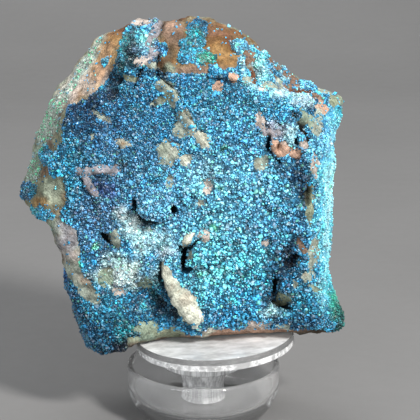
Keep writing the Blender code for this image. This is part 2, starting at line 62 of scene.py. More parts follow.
class Hue(Enum):
    """The colours of the minerals and of painted shade, as linear red, green and blue."""

    MIDNIGHT = (0.003, 0.012, 0.030)
    NAVY = (0.008, 0.060, 0.145)
    ROYAL = (0.030, 0.155, 0.320)
    SLATE = (0.105, 0.220, 0.370)
    INDIGO = (0.030, 0.075, 0.270)
    OCEAN = (0.025, 0.245, 0.370)
    AZURE = (0.038, 0.315, 0.555)
    SKY = (0.165, 0.520, 0.780)
    CYAN = (0.190, 0.690, 0.830)
    ICE = (0.470, 0.780, 0.820)
    TEAL = (0.010, 0.240, 0.270)
    TURQUOISE = (0.090, 0.580, 0.620)
    MALACHITE = (0.040, 0.400, 0.220)
    MINT = (0.220, 0.780, 0.450)
    BOTTLE = (0.015, 0.100, 0.085)
    PALE_GREEN = (0.420, 0.510, 0.450)
    SAGE = (0.260, 0.330, 0.250)
    WHITE = (0.820, 0.840, 0.740)
    FROST = (0.680, 0.820, 0.810)
    CREAM = (0.490, 0.500, 0.410)
    BONE = (0.760, 0.770, 0.640)
    TAN = (0.310, 0.350, 0.290)
    OLIVE = (0.210, 0.240, 0.165)
    OCHRE = (0.360, 0.215, 0.085)
    AMBER = (0.180, 0.088, 0.024)
    SALMON = (0.530, 0.335, 0.240)
    BLUSH = (0.500, 0.430, 0.380)
    LILAC = (0.420, 0.430, 0.500)
    PINK_GREY = (0.265, 0.255, 0.275)
    BROWN = (0.210, 0.135, 0.098)
    RUST = (0.150, 0.060, 0.028)
    UMBER = (0.060, 0.038, 0.024)
    # Painted shade: near black laid where a crevice and the shadowed underside of the lower left lobe are
    # dark; not a mineral's colour.
    SHADE = (0.008, 0.009, 0.010)

    @property
    def rgb(self) -> np.ndarray:
        """The colour as an array."""
        return np.array(self.value)


class Noise:
    """Smooth lattice noise of points in space, the same on every run."""

    def __init__(self, seed: int) -> None:
        """Draw the lattice's table and directions.

        Args:
            seed: of the draws.
        """
        dice = np.random.default_rng(seed)
        self.table = dice.permutation(256)
        slopes = dice.normal(size=(256, 3))
        self.slopes = slopes / np.linalg.norm(slopes, axis=1, keepdims=True)
        self.shift = dice.uniform(0, 50, 3)

    def at(self, points: Points, size: float) -> np.ndarray:
        """Noise of points.

        Args:
            points: one point a row, in metres.
            size: the width of one swell, in metres.

        Returns:
            One value a point, about -1 to 1.
        """
        spots = points / size + self.shift
        cell = np.floor(spots).astype(int)
        inner = spots - cell
        ease = inner ** 3 * (inner * (inner * 6 - 15) + 10)
        total = np.zeros(len(points))
        for corner in np.ndindex(2, 2, 2):
            step = np.array(corner)
            key = (cell + step) & 255
            key = self.table[(self.table[(self.table[key[:, 0]] + key[:, 1]) & 255] + key[:, 2]) & 255]
            weight = np.prod(np.where(step, ease, 1 - ease), axis=1)
            total += weight * ((inner - step) * self.slopes[key]).sum(1)
        return total * 1.7

    def rough(self, points: Points, size: float, octaves: int = 3) -> np.ndarray:
        """Noise of points summed over sizes, each half the last one's."""
        return sum(self.at(points, size / 2 ** i) / 2 ** i for i in range(octaves))


def ease_between(low: float, high: float, value: np.ndarray) -> np.ndarray:
    """A smooth step from 0 at low to 1 at high."""
    share = np.clip((value - low) / (high - low), 0.0, 1.0)
    return share * share * (3 - 2 * share)


@dataclass(frozen=True)
class FrontView:
    """The view of the front that the camera takes and that the marks are placed on."""

    rise_deg: float = 17.0
    distance: float = 0.400
    angle_deg: float = 12.2
    aim: tuple[float, float, float] = (0.0014, 0.0, 0.0437)

    @property
    def forward(self) -> np.ndarray:
        """Direction of view."""
        rise = math.radians(self.rise_deg)
        return np.array((0.0, math.cos(rise), -math.sin(rise)))

    @property
    def eye(self) -> np.ndarray:
        """Where the view is taken from."""
        return np.array(self.aim) - self.forward * self.distance

    def seen(self, points: Points) -> np.ndarray:
        """Where points are seen.

        Args:
            points: one point a row, in metres.

        Returns:
            Their (x, y) places on the grid, one a row.
        """
        rise = math.radians(self.rise_deg)
        upward = np.array((0.0, math.sin(rise), math.cos(rise)))
        away = points - self.eye
        depth = away @ self.forward
        scale = GRID / 2 / math.tan(math.radians(self.angle_deg) / 2)
        across = GRID / 2 + away[:, 0] / depth * scale
        down = GRID / 2 - away @ upward / depth * scale
        return np.stack((across, down), axis=1)

    def facing(self, points: Points, normals: Points) -> np.ndarray:
        """How far each normal turns towards the eye.

        Args:
            points: one point a row, in metres.
            normals: their normals.

        Returns:
            One value a point, from -1 to 1.
        """
        towards = self.eye - points
        towards /= np.linalg.norm(towards, axis=1, keepdims=True)
        return (towards * normals).sum(1)


VIEW = FrontView()


@dataclass(frozen=True)
class Mark:
    """An oval patch on the front, placed on the grid."""

    x: float
    y: float
    half_w: float
    half_h: float
    turn: float = 0.0
    hue: Hue = Hue.TAN
    strength: float = 1.0
    soft: float = 0.25

    def reach(self, seen: Points) -> np.ndarray:
        """Distance of seen points from the middle.

        Args:
            seen: their places on the grid.

        Returns:
            One value a point, as a share of the half sizes.
        """
        turn = math.radians(self.turn)
        dx, dy = seen[:, 0] - self.x, seen[:, 1] - self.y
        along = (dx * math.cos(turn) + dy * math.sin(turn)) / self.half_w
        across = (-dx * math.sin(turn) + dy * math.cos(turn)) / self.half_h
        return np.hypot(along, across)

    def cover(self, seen: Points, ragged: np.ndarray) -> np.ndarray:
        """Share of the patch's colour at each seen point, its edge shifted by a ragged amount."""
        return self.strength * ease_between(1 + self.soft, 1 - self.soft, self.reach(seen) + ragged)


def marked(*rows: tuple[Any, ...]) -> tuple[Mark, ...]:
    """Marks from rows of place, half sizes, turn, hue, strength and softness."""
    return tuple(Mark(*row) for row in rows)


@dataclass(frozen=True)
class Bump:
    """A rise or a hollow of the front, placed on the grid."""

    x: float
    y: float
    half_w: float
    half_h: float
    rise_mm: float
    turn: float = 0.0

    def lift(self, seen: Points) -> np.ndarray:
        """Rise of seen points, in metres."""
        share = Mark(self.x, self.y, self.half_w, self.half_h, self.turn).reach(seen)
        return self.rise_mm * MM * np.exp(-(share ** 4))


@dataclass(frozen=True)
class Crack:
    """An open crack along a line of grid points; the side to the left of its run may stand proud."""

    line: tuple[tuple[float, float], ...]
    half_width: float
    depth_mm: float
    step_mm: float = 0.0
    step_reach: float = 14.0

    def lift(self, seen: Points) -> np.ndarray:
        """Rise of seen points, below 0 in the crack.

        Args:
            seen: their places on the grid.

        Returns:
            One rise a point, in metres.
        """
        nearest = np.full(len(seen), np.inf)
        side = np.zeros(len(seen))
        for (x0, y0), (x1, y1) in zip(self.line, self.line[1:]):
            run = np.array((x1 - x0, y1 - y0))
            off = seen - (x0, y0)
            share = np.clip(off @ run / (run @ run), 0, 1)
            gap = off - share[:, None] * run
            distance = np.hypot(gap[:, 0], gap[:, 1])
            closer = distance < nearest
            nearest = np.where(closer, distance, nearest)
            side = np.where(closer, gap[:, 0] * run[1] - gap[:, 1] * run[0], side)
        groove = -self.depth_mm * np.exp(-((nearest / self.half_width) ** 2))
        proud = np.where(side < 0, self.step_mm * np.clip(1 - nearest / self.step_reach, 0, 1) ** 2, 0.0)
        return (groove + proud) * MM


# The tables of the front: an outline, then rows of what Mark, Bump and Crack take

# The crust's outline on the grid, from the left of the top saddle.
CRUST_OUTLINE = (
    (119, 44), (124, 32), (134, 22), (146, 14), (156, 15), (159, 26), (157, 38), (166, 46), (166, 56),
    (157, 63), (166, 70), (180, 72), (195, 74), (206, 73), (208, 64), (217, 64), (224, 72), (236, 66),
    (243, 54), (254, 44), (270, 54), (290, 60), (306, 72), (330, 84), (352, 90), (360, 130), (350, 200),
    (350, 285), (360, 330), (343, 333), (320, 329), (290, 328), (250, 327.5), (212, 328), (203, 331),
    (190, 341), (150, 347), (132, 351), (112, 356), (108, 372), (80, 372), (60, 330), (48, 282), (48, 258),
    (60, 262), (72, 280), (88, 300), (98, 300), (92, 284), (80, 268), (80, 248), (76, 230), (62, 223),
    (57, 210), (66, 202), (67, 188), (62, 178), (48, 174), (49, 162), (57, 150), (64, 140), (64, 122),
    (67, 108), (75, 101), (88, 98), (96, 90), (104, 84), (109, 74), (115, 62),
)

# Bare rock inside that outline; one mark is painted shade in a crevice.
BARE = marked(
    (84, 285, 25, 7, 48, Hue.TAN, 1, 0.4), (105, 278, 8, 8, 0, Hue.SAGE, 1, 0.5),
    (118, 290, 7, 4, 0, Hue.BLUSH, 1, 0.5), (146, 283, 8, 5, 0, Hue.SAGE, 1, 0.5),
    (186, 305, 26, 11.5, 53, Hue.BONE, 1, 0.15), (165, 274, 5, 13, -6, Hue.CREAM),
    (184, 294, 11, 7, 30, Hue.CREAM), (146, 329, 12, 8.5, 8, Hue.SAGE), (170, 333, 12, 4.5, 0, Hue.OLIVE),
    (186, 125, 10.5, 13, -20, Hue.TAN), (201, 139, 5, 9.5, -38, Hue.CREAM), (168, 153, 10, 13, 10, Hue.TAN),
    (186, 160, 7, 4.5, -35, Hue.CREAM), (171, 181, 4.5, 5, 0, Hue.TAN), (124, 143, 7, 5.5, 0, Hue.CREAM),
    (102, 118, 11, 3.5, 32, Hue.TAN), (91, 137, 3, 3.5, 0, Hue.TAN), (168, 90, 13, 6, 44, Hue.TAN),
    (162, 100, 9, 3, -38, Hue.OLIVE), (172, 103, 3, 6, 10, Hue.TAN), (155, 104, 5, 3.5, 0, Hue.TAN),
    (279, 149, 9, 9, 20, Hue.SALMON), (293, 153, 6, 6, 0, Hue.SALMON), (262, 162, 7, 6, -40, Hue.TAN),
    (260, 120, 5, 9, -14, Hue.BLUSH), (271, 133, 8, 4, 0, Hue.PINK_GREY), (304, 143, 5, 5, 0, Hue.BLUSH),
    # Painted shade: the first mark on the next row paints the dark crevice beside the cream ridge.
    (302, 127, 3.2, 17, -29, Hue.SHADE), (307, 119, 4, 13, -42, Hue.SAGE), (316, 128, 3, 7, -20, Hue.TAN),
    (188, 240, 11, 4.6, -42, Hue.CREAM), (206, 235, 6.5, 6.5, 0, Hue.BLUSH), (190, 256, 3.2, 7, 8, Hue.TAN),
    (217, 87, 6, 5.5, 0, Hue.SALMON), (234, 78, 4, 4, 0, Hue.SALMON), (207, 187, 4.5, 8, 10, Hue.BLUSH),
    (200, 202, 4.5, 4, 0, Hue.CREAM), (265, 243, 3.5, 4, 0, Hue.BLUSH),
    (100, 170, 21, 4.8, -2, Hue.PINK_GREY, 1, 0.4), (89, 187, 4.5, 14, -32, Hue.PINK_GREY, 1, 0.4),
    (115, 238, 5.5, 8, -20, Hue.TAN), (315, 165, 4, 13, 0, Hue.BLUSH),
    (310, 205, 4, 24, 0, Hue.OLIVE, 1, 0.4), (301, 245, 3.5, 9, -28, Hue.BROWN),
    (314, 254, 5, 20, 8, Hue.TAN), (307, 277, 4.5, 6, 0, Hue.TAN), (284, 298, 9, 5, 20, Hue.OLIVE),
    (297, 284, 3, 4, 0, Hue.TAN), (315, 288, 6, 3.5, 40, Hue.SAGE), (258, 325, 12, 3, 0, Hue.BLUSH),
    (285, 326, 7, 3, 0, Hue.PALE_GREEN), (251, 70, 3.5, 11, -20, Hue.TAN), (253, 77, 3, 6, -20, Hue.RUST),
    (250, 57, 4, 5, -30, Hue.BROWN), (262, 89, 6, 2.4, 6, Hue.BLUSH, 1, 0.5),
    (278, 67, 4, 3, 10, Hue.BROWN), (281, 85, 5, 3.5, 20, Hue.TAN, 1, 0.5),
    (295, 80, 4, 9, -20, Hue.BROWN, 1, 0.4), (299, 76, 5, 4, 30, Hue.BROWN),
    (305, 92, 16, 2.2, 6, Hue.RUST), (272, 61, 4, 2, 40, Hue.BROWN), (276, 80, 2.5, 4, 10, Hue.TAN),
    (289, 86, 4, 3, 0, Hue.BROWN), (318, 97, 7, 4, 30, Hue.BROWN), (322, 107, 7, 5, 20, Hue.SALMON),
    (318, 118, 4, 8, -10, Hue.TAN, 1, 0.5), (326, 91, 9, 4, 20, Hue.TAN), (343, 98, 9, 8, 0, Hue.SAGE),
    (287, 72, 4, 3, 0, Hue.BROWN), (293, 91, 5, 2.2, 14, Hue.RUST), (266, 84, 3, 5, -40, Hue.TAN, 1, 0.5),
    (247, 80, 4, 3, 0, Hue.TAN, 1, 0.5), (309, 79, 8, 3, 35, Hue.BROWN), (270, 74, 3, 6, -30, Hue.BROWN),
    (264, 62, 2.2, 7, -30, Hue.TAN), (273, 86, 4, 3, 20, Hue.TAN), (258, 49, 3, 5, -50, Hue.BROWN),
    (279, 62, 5, 2.5, 35, Hue.BROWN), (333, 100, 4, 5, 0, Hue.OLIVE), (143, 20, 10, 5.5, -4, Hue.BLUSH),
    (153, 34, 3.5, 12, 24, Hue.PINK_GREY), (152, 52, 4, 9, 20, Hue.PINK_GREY, 1, 0.5),
    (141, 61, 6, 5, 0, Hue.BLUSH, 1, 0.5), (152, 67, 5, 3, 0, Hue.TAN, 1, 0.5),
    (130, 78, 9, 3.5, 12, Hue.OLIVE),
)

# Bare rock without any crystals on it.
CLEAN = marked(
    (184, 303, 30, 14, 53), (165, 274, 7, 16, -6), (279, 149, 9, 9, 20), (124, 143, 7, 6), (217, 87, 6, 6),
    (78, 72, 48, 7, 122),
)

# Broad tones of the crust, laid over each other in this order; some dark ones are painted shade, noted where
# they stand.
CRUST_TONES = marked(
    (250, 125, 70, 52, 0, Hue.SKY, 0.35, 0.6), (215, 215, 82, 58, 0, Hue.SKY, 0.75, 0.6),
    (245, 185, 40, 20, 0, Hue.CYAN, 0.3, 0.7), (206, 175, 18, 16, 0, Hue.ICE, 0.4, 0.7),
    (212, 225, 26, 20, 0, Hue.CYAN, 0.5, 0.7), (282, 200, 34, 34, 0, Hue.OCEAN, 0.3, 0.6),
    (262, 175, 30, 26, 0, Hue.SKY, 0.4, 0.7), (235, 262, 52, 22, 0, Hue.TURQUOISE, 0.45, 0.7),
    (206, 284, 22, 20, 0, Hue.CYAN, 0.5, 0.7), (245, 302, 48, 16, 0, Hue.OCEAN, 0.2, 0.6),
    (240, 314, 36, 10, 0, Hue.ROYAL, 0.35, 0.6), (222, 96, 46, 18, 8, Hue.OCEAN, 0.35, 0.6),
    (138, 115, 36, 40, 0, Hue.ROYAL, 0.45, 0.6), (90, 125, 36, 34, 0, Hue.ROYAL, 0.7, 0.5),
    (80, 118, 20, 22, 0, Hue.NAVY, 0.75, 0.6), (94, 102, 28, 9, -14, Hue.NAVY, 0.85, 0.5),
    (70, 180, 13, 40, 0, Hue.OCEAN, 0.6, 0.6), (100, 157, 30, 9, 0, Hue.OCEAN, 0.4, 0.6),
    # Painted shade: the MIDNIGHT mark at (114, 84) darkens the hollow by the top saddle.
    (114, 84, 9, 22, 8, Hue.MIDNIGHT, 0.75, 0.5), (129, 50, 11, 20, 12, Hue.BOTTLE, 0.85, 0.4),
    # Painted shade: the MIDNIGHT marks at (134, 54) and (160, 68) darken the hollow and the shadowed gap
    # beside the top saddle.
    (134, 54, 6, 13, 8, Hue.MIDNIGHT, 0.8, 0.5), (160, 68, 12, 7, 30, Hue.MIDNIGHT, 0.75, 0.5),
    (100, 218, 28, 34, 0, Hue.SLATE, 0.8, 0.6), (100, 216, 24, 26, 0, Hue.ROYAL, 0.35, 0.6),
    (104, 187, 15, 8, 0, Hue.INDIGO, 0.9, 0.4), (104, 252, 20, 12, 0, Hue.ROYAL, 0.7, 0.5),
    (100, 318, 46, 36, 0, Hue.OCEAN, 0.8, 0.5), (92, 340, 36, 28, 0, Hue.NAVY, 0.7, 0.6),
    (70, 305, 13, 46, -12, Hue.NAVY, 0.85, 0.5), (60, 272, 7, 16, -10, Hue.INDIGO, 0.7, 0.4),
    # Partly the crystals' colour and partly painted shade: the NAVY at (148, 306) darkens the slope left of
    # the pale wedge; the MIDNIGHT at (164, 306) is painted shadow along the wedge's left edge.
    (148, 306, 19, 26, 30, Hue.NAVY, 0.6, 0.5), (164, 306, 5, 20, -35, Hue.MIDNIGHT, 0.6, 0.5),
    # Painted shadow: the MIDNIGHT at (122, 349) darkens the crust under the lower left lobe.
    (122, 349, 17, 12, 0, Hue.MIDNIGHT, 0.95, 0.4), (122, 272, 28, 14, 4, Hue.PALE_GREEN, 0.9, 0.5),
    (122, 275, 11, 7, 0, Hue.FROST, 0.6, 0.6), (118, 259, 16, 7, -8, Hue.ICE, 0.55, 0.6),
    (134, 230, 12, 24, -22, Hue.ICE, 0.95, 0.5), (152, 236, 24, 13, 14, Hue.ICE, 0.75, 0.7),
    (168, 222, 16, 9, 0, Hue.SKY, 0.6, 0.6), (128, 165, 34, 34, 0, Hue.SLATE, 0.4, 0.7),
    (150, 226, 7, 4, 0, Hue.CREAM, 0.85, 0.6), (133, 222, 5, 8, 0, Hue.FROST, 0.9, 0.5),
    (124, 212, 5, 8, -10, Hue.BLUSH, 0.5, 0.6), (166, 250, 10, 6, 0, Hue.BLUSH, 0.5, 0.6),
    (160, 205, 20, 12, 0, Hue.SKY, 0.6, 0.6), (284, 262, 17, 19, 20, Hue.NAVY, 0.85, 0.5),
    (290, 252, 9, 12, 20, Hue.MIDNIGHT, 0.85, 0.5), (276, 298, 17, 15, 0, Hue.MIDNIGHT, 0.8, 0.5),
    # Painted shade: the MIDNIGHT at (302, 196) darkens the hollow on the inner side of the right strip.
    (300, 178, 11, 26, 0, Hue.NAVY, 0.8, 0.5), (302, 196, 6, 10, 0, Hue.MIDNIGHT, 0.95, 0.4),
    (298, 226, 12, 26, 0, Hue.NAVY, 0.45, 0.6), (292, 284, 24, 22, 0, Hue.NAVY, 0.45, 0.6),
    (290, 172, 10, 8, 0, Hue.NAVY, 0.6, 0.5), (308, 306, 24, 26, 0, Hue.OCEAN, 0.75, 0.6),
    (300, 322, 26, 8, 0, Hue.NAVY, 0.8, 0.5), (318, 296, 10, 8, 0, Hue.ROYAL, 0.6, 0.5),
    (270, 311, 10, 6, 0, Hue.ICE, 0.65, 0.6), (286, 312, 6, 4, 0, Hue.CYAN, 0.6, 0.6),
    (329, 212, 13, 92, 2, Hue.CYAN, 0.8, 0.4), (326, 200, 4, 70, 2, Hue.ICE, 0.6, 0.7),
    (335, 235, 4, 60, 2, Hue.TEAL, 0.45, 0.7), (334, 288, 9, 18, -12, Hue.TURQUOISE, 0.7, 0.5),
    (337, 306, 9, 20, -12, Hue.MALACHITE, 0.75, 0.5), (342, 320, 9, 18, -8, Hue.BOTTLE, 0.9, 0.4),
    (318, 142, 13, 20, 0, Hue.SKY, 0.7, 0.5), (308, 112, 9, 7, 30, Hue.NAVY, 0.7, 0.5),
    (341, 124, 7, 22, 4, Hue.TEAL, 0.75, 0.5), (337, 112, 4, 9, 0, Hue.CYAN, 0.7, 0.5),
    (262, 70, 20, 26, -28, Hue.CYAN, 0.45, 0.6), (274, 73, 6, 11, -25, Hue.ROYAL, 0.65, 0.6),
    (261, 72, 3.5, 13, -22, Hue.ICE, 0.8, 0.5), (267, 84, 3, 9, -22, Hue.CYAN, 0.8, 0.5),
    (242, 68, 3, 11, -12, Hue.ICE, 0.7, 0.5), (252, 85, 9, 3, 35, Hue.ICE, 0.75, 0.5),
    (262, 58, 5, 6, -20, Hue.MINT, 0.35, 0.6), (274, 92, 5, 4, 40, Hue.ICE, 0.7, 0.5),
    (283, 93, 6, 4, 10, Hue.FROST, 0.7, 0.5), (300, 100, 11, 5.5, 4, Hue.FROST, 0.58, 0.4),
    (285, 68, 5, 2.5, 0, Hue.ICE, 0.85, 0.4), (287, 78, 4, 3.5, 20, Hue.ICE, 0.8, 0.4),
    (306, 86, 8, 4, 15, Hue.SKY, 0.7, 0.4), (280, 128, 12, 10, 15, Hue.LILAC, 0.85, 0.5),
    (291, 134, 6, 12, 8, Hue.ICE, 0.85, 0.5), (282, 112, 20, 8, 4, Hue.AZURE, 0.85, 0.5),
    (147, 40, 7, 8, 0, Hue.CYAN, 0.85, 0.5), (145, 38, 5, 4, 0, Hue.MINT, 0.5, 0.6),
    (150, 45, 9, 14, 24, Hue.LILAC, 0.35, 0.6), (148, 56, 10, 10, 0, Hue.SLATE, 0.8, 0.6),
    (124, 42, 6, 10, 14, Hue.TEAL, 0.7, 0.6), (145, 21, 14, 6, 0, Hue.PINK_GREY, 0.6, 0.6),
    (163, 48, 6, 8, 0, Hue.ROYAL, 0.75, 0.5), (212, 70, 7, 6, 0, Hue.AZURE, 0.8, 0.4),
    (184, 80, 18, 7, 0, Hue.ROYAL, 0.55, 0.5), (222, 79, 10, 4, 0, Hue.NAVY, 0.8, 0.5),
    (125, 330, 9, 8, 0, Hue.TEAL, 0.75, 0.6), (155, 286, 6, 9, 0, Hue.TEAL, 0.6, 0.6),
    (142, 305, 4, 4, 0, Hue.TURQUOISE, 0.6, 0.6), (80, 266, 5, 5, 0, Hue.MALACHITE, 0.9, 0.5),
    (95, 243, 3, 3, 0, Hue.MINT, 0.9, 0.5), (224, 148, 4, 3, 0, Hue.MINT, 0.8, 0.5),
    (220, 185, 5, 3, 0, Hue.MINT, 0.7, 0.6), (217, 226, 4, 4, 0, Hue.MINT, 0.8, 0.5),
    (223, 268, 8, 4, 0, Hue.MINT, 0.4, 0.7), (232, 300, 5, 4, 0, Hue.TURQUOISE, 0.7, 0.6),
    (204, 272, 4, 4, 0, Hue.MINT, 0.5, 0.6),
)

# The smoother strip down the right side.
GLAZED = Mark(330, 205, 12, 96, 2, soft=0.35)

# Tones of the bare rock beyond the crust, with painted shade under the lower left lobe and painted light on
# the band above the plate.
ROCK_TONES = marked(
    (200, 44, 56, 34, 0, Hue.AMBER, 0.8, 0.4), (205, 72, 34, 6, 4, Hue.BROWN, 0.8, 0.5),
    (190, 42, 8, 10, 0, Hue.UMBER, 0.6, 0.5), (226, 48, 24, 18, 20, Hue.AMBER, 0.9, 0.4),
    (222, 52, 10, 6, 30, Hue.OCHRE, 0.7, 0.6), (229, 43, 3, 8, -20, Hue.RUST, 0.85, 0.4),
    (236, 60, 7, 6, 0, Hue.OCHRE, 0.5, 0.6), (216, 33, 16, 3, 12, Hue.BROWN, 0.6, 0.6),
    (220, 32, 22, 9, 8, Hue.RUST, 0.55, 0.5), (173, 33, 13, 12, 0, Hue.BROWN, 0.85, 0.4),
    (172, 28, 9, 7, 0, Hue.SALMON, 0.4, 0.6), (176, 38, 9, 5, 0, Hue.UMBER, 0.7, 0.5),
    (163, 30, 3, 10, 10, Hue.UMBER, 0.7, 0.5), (192, 70, 20, 4, 0, Hue.BROWN, 0.6, 0.5),
    (168, 55, 8, 10, 0, Hue.UMBER, 0.6, 0.5), (170, 67, 7, 5, 0, Hue.SAGE, 0.7, 0.4),
    (98, 66, 36, 17, 122, Hue.OCHRE, 0.95, 0.4), (99, 72, 16, 7, 122, Hue.SALMON, 0.55, 0.5),
    (90, 88, 10, 7, 122, Hue.BLUSH, 0.7, 0.5), (106, 78, 4, 10, 20, Hue.PINK_GREY, 0.6, 0.5),
    (112, 42, 12, 6, 140, Hue.AMBER, 0.6, 0.5), (104, 52, 12, 8, 125, Hue.SALMON, 0.3, 0.6),
    (117, 72, 4, 16, 8, Hue.UMBER, 0.85, 0.4), (72, 84, 12, 26, 38, Hue.BLUSH, 0.6, 0.5),
    (74, 86, 24, 6, 120, Hue.BLUSH, 0.75, 0.5), (82, 68, 42, 4.5, 122, Hue.PALE_GREEN, 0.9, 0.5),
    (62, 98, 30, 4, 118, Hue.WHITE, 0.55, 0.6), (48, 124, 24, 10, 108, Hue.PALE_GREEN, 0.75, 0.5),
    (60, 136, 5, 26, 8, Hue.OLIVE, 0.85, 0.5), (34, 166, 7, 20, 18, Hue.SAGE, 0.8, 0.5),
    (45, 172, 4, 12, 30, Hue.RUST, 0.75, 0.5), (50, 193, 15, 18, 0, Hue.OLIVE, 0.9, 0.4),
    (52, 190, 9, 12, 0, Hue.TAN, 0.45, 0.7), (38, 203, 8, 5, 0, Hue.OCHRE, 0.8, 0.5),
    (54, 226, 9, 9, 0, Hue.SAGE, 0.75, 0.5), (68, 240, 14, 20, 0, Hue.PINK_GREY, 0.9, 0.5),
    (70, 262, 12, 12, 0, Hue.BLUSH, 0.55, 0.5), (84, 285, 25, 8, 48, Hue.TAN, 0.8, 0.5),
    (86, 280, 8, 5, 30, Hue.SALMON, 0.5, 0.6), (119, 288, 6, 5, 0, Hue.BLUSH, 0.7, 0.5),
    (122, 270, 16, 8, 0, Hue.WHITE, 0.35, 0.7), (240, 331, 90, 6, -1.5, Hue.BROWN, 0.9, 0.4),
    # Partly the rock's reddish-brown and partly painted light: the SALMON marks at (240, 332) and (215, 333)
    # lighten the downward-facing band above the plate, as if lit by light off the plate.
    (240, 332, 60, 6, -1.5, Hue.SALMON, 0.9, 0.5), (318, 335, 28, 5, 0, Hue.UMBER, 0.95, 0.4),
    (215, 333, 20, 3, 0, Hue.SALMON, 0.45, 0.5), (344, 99, 5, 8, 0, Hue.OLIVE, 0.7, 0.5),
    # Painted shade: (120, 352) paints the shadow under the lower left lobe.
    (342, 318, 8, 18, -8, Hue.BOTTLE, 0.8, 0.4), (120, 352, 20, 12, 0, Hue.SHADE, 0.85, 0.4),
    (165, 342, 36, 5, -6, Hue.BROWN, 0.8, 0.5),
)

# Finer tones on the bare patches.
PATCH_TONES = marked(
    (124, 143, 3.6, 3.4, 0, Hue.AMBER, 0.85, 0.5), (107, 121, 4, 2.5, 30, Hue.CREAM, 0.8, 0.5),
    (192, 121, 3, 9, -38, Hue.CREAM, 0.6, 0.6), (162, 146, 6, 6, 0, Hue.OLIVE, 0.45, 0.6),
    (174, 147, 4, 8, 0, Hue.CREAM, 0.45, 0.6), (278, 149, 1.5, 6, 30, Hue.RUST, 0.7, 0.5),
    (284, 142, 5, 3, 10, Hue.BLUSH, 0.7, 0.6), (189, 296, 7, 9, 40, Hue.SALMON, 0.28, 0.7),
    (176, 310, 4, 18, -38, Hue.SAGE, 0.4, 0.7), (86, 280, 8, 4, 30, Hue.SALMON, 0.5, 0.6),
    (91, 288, 5, 7, 0, Hue.UMBER, 0.55, 0.6), (78, 277, 5, 3, 30, Hue.CREAM, 0.6, 0.6),
    (146, 330, 6, 5, 0, Hue.OLIVE, 0.5, 0.6), (252, 74, 2, 6, -20, Hue.RUST, 0.75, 0.5),
)

BUMPS = tuple(Bump(*row) for row in (
    (173, 209, 4.2, 5.6, -2.4), (154, 203, 14, 14, 1), (183, 259, 3.4, 10, -2.4, 4),
    (189, 269, 7, 2.4, -1.8), (188, 239, 11, 4.5, 1.1, -42), (205, 236, 7, 6, 0.5),
    (275, 285, 4, 10, -1.6, 12), (281, 305, 12, 4, -1.7, 24), (289, 264, 8, 7, -1), (296, 256, 5, 4, -1.3),
    (302, 127, 3.6, 17, -1.9, -29), (309, 120, 4, 15, 0.7, -48), (278, 148, 2, 5, -1, 25),
    (257, 70, 3, 13, -0.6, -26), (266, 74, 4, 20, 0.6, -28), (242, 72, 4, 14, 0.5, -24),
    (290, 100, 22, 5, 0.6, 12), (284, 76, 9, 5, -0.5, 30), (267, 144, 2.6, 7, -1.6),
    (297, 141, 2.4, 5, -1.4), (282, 150, 13, 9, 0.6, 12), (303, 143, 5, 6, 0.8), (117, 84, 5, 14, -0.4, 6),
    (88, 134, 3, 5, -0.8), (130, 58, 4, 7, -0.9), (120, 80, 3, 3, -0.8), (163, 68, 3, 8, -1.6, -20),
    (106, 238, 4, 8, -1.3, -38), (115, 238, 5, 8, 0.6, -20), (308, 196, 4, 9, -1.7),
    (183, 304, 27, 10, 1.1, 53), (166, 305, 3.5, 20, -0.8, -36), (62, 272, 5, 9, -0.8, -15),
    (173, 31, 13, 11, 0.6), (162, 24, 2, 6, -1, 12), (233, 44, 2, 8, -0.6), (100, 170, 22, 4, 0.5, -2),
    (89, 187, 4, 14, 0.5, -32), (186, 125, 10, 12, 0.3, -20), (168, 153, 10, 13, 0.3, 10),
    (268, 126, 3, 3, -0.6),
))

CRACKS = tuple(Crack(*row) for row in (
    (((158, 54), (157, 75), (166, 82), (172, 88)), 1.6, 1.6, 0.5),
    (((172, 88), (181, 98), (183, 106)), 0.9, 0.9, 0.6),
    (((183, 104), (185, 112), (192, 119)), 1.3, 1.5, 0.6),
    (((192, 119), (197, 125), (205, 138), (210, 149), (216, 160), (221, 171)), 0.9, 1, 0.6),
    (((136, 69), (142, 71), (149, 70)), 1.1, 0.9), (((141, 70), (138, 78), (133, 89)), 1.3, 1.3),
    (((119, 110), (116, 118), (114, 127)), 1, 0.8),
    (((117, 146), (121, 154), (122, 162), (126, 172)), 1, 0.8),
    (((167, 166), (160, 177), (149, 189), (143, 199), (137, 205)), 1.1, 1),
    (((135, 202), (137, 210), (141, 216), (147, 221), (155, 222)), 2.9, 2.7),
    (((92, 178), (101, 177), (118, 177)), 1.1, 0.7), (((78, 176), (84, 188), (95, 203)), 1.3, 0.9),
    (((180, 246), (188, 249), (201, 240)), 1.6, 1.8),
    (((240, 84), (228, 82), (219, 79), (206, 78)), 1.5, 0.9),
    (((124, 205), (128, 214), (126, 226)), 0.9, 0.5), (((178, 195), (184, 203), (192, 212)), 1.2, 0.8),
    (((190, 300), (180, 290), (168, 300), (176, 318)), 1, 0.5),
    (((258, 108), (260, 120), (257, 134)), 1.1, 0.7),
    (((268, 136), (268, 150), (274, 158), (280, 163)), 1.5, 1.3),
    (((280, 163), (296, 160), (303, 152)), 1.2, 0.9), (((276, 122), (283, 127), (284, 137)), 1, 0.8),
    (((286, 92), (300, 90), (318, 96)), 1.1, 0.7), (((247, 60), (250, 72), (258, 82)), 1.2, 0.7),
    (((150, 100), (156, 106), (152, 112)), 1.3, 0.9), (((96, 262), (112, 256), (128, 258)), 1.1, 0.6),
    (((160, 262), (158, 278), (166, 292), (176, 310), (190, 326)), 1.8, 1.5, 0),
))

# The strip of pale crystals on the broken edge at the upper left.
STRIP = marked(
    (84, 65, 36, 3.2, 122), (62, 101, 14, 4, 112), (49, 122, 26, 9, 106), (34, 168, 6, 20, 18),
)


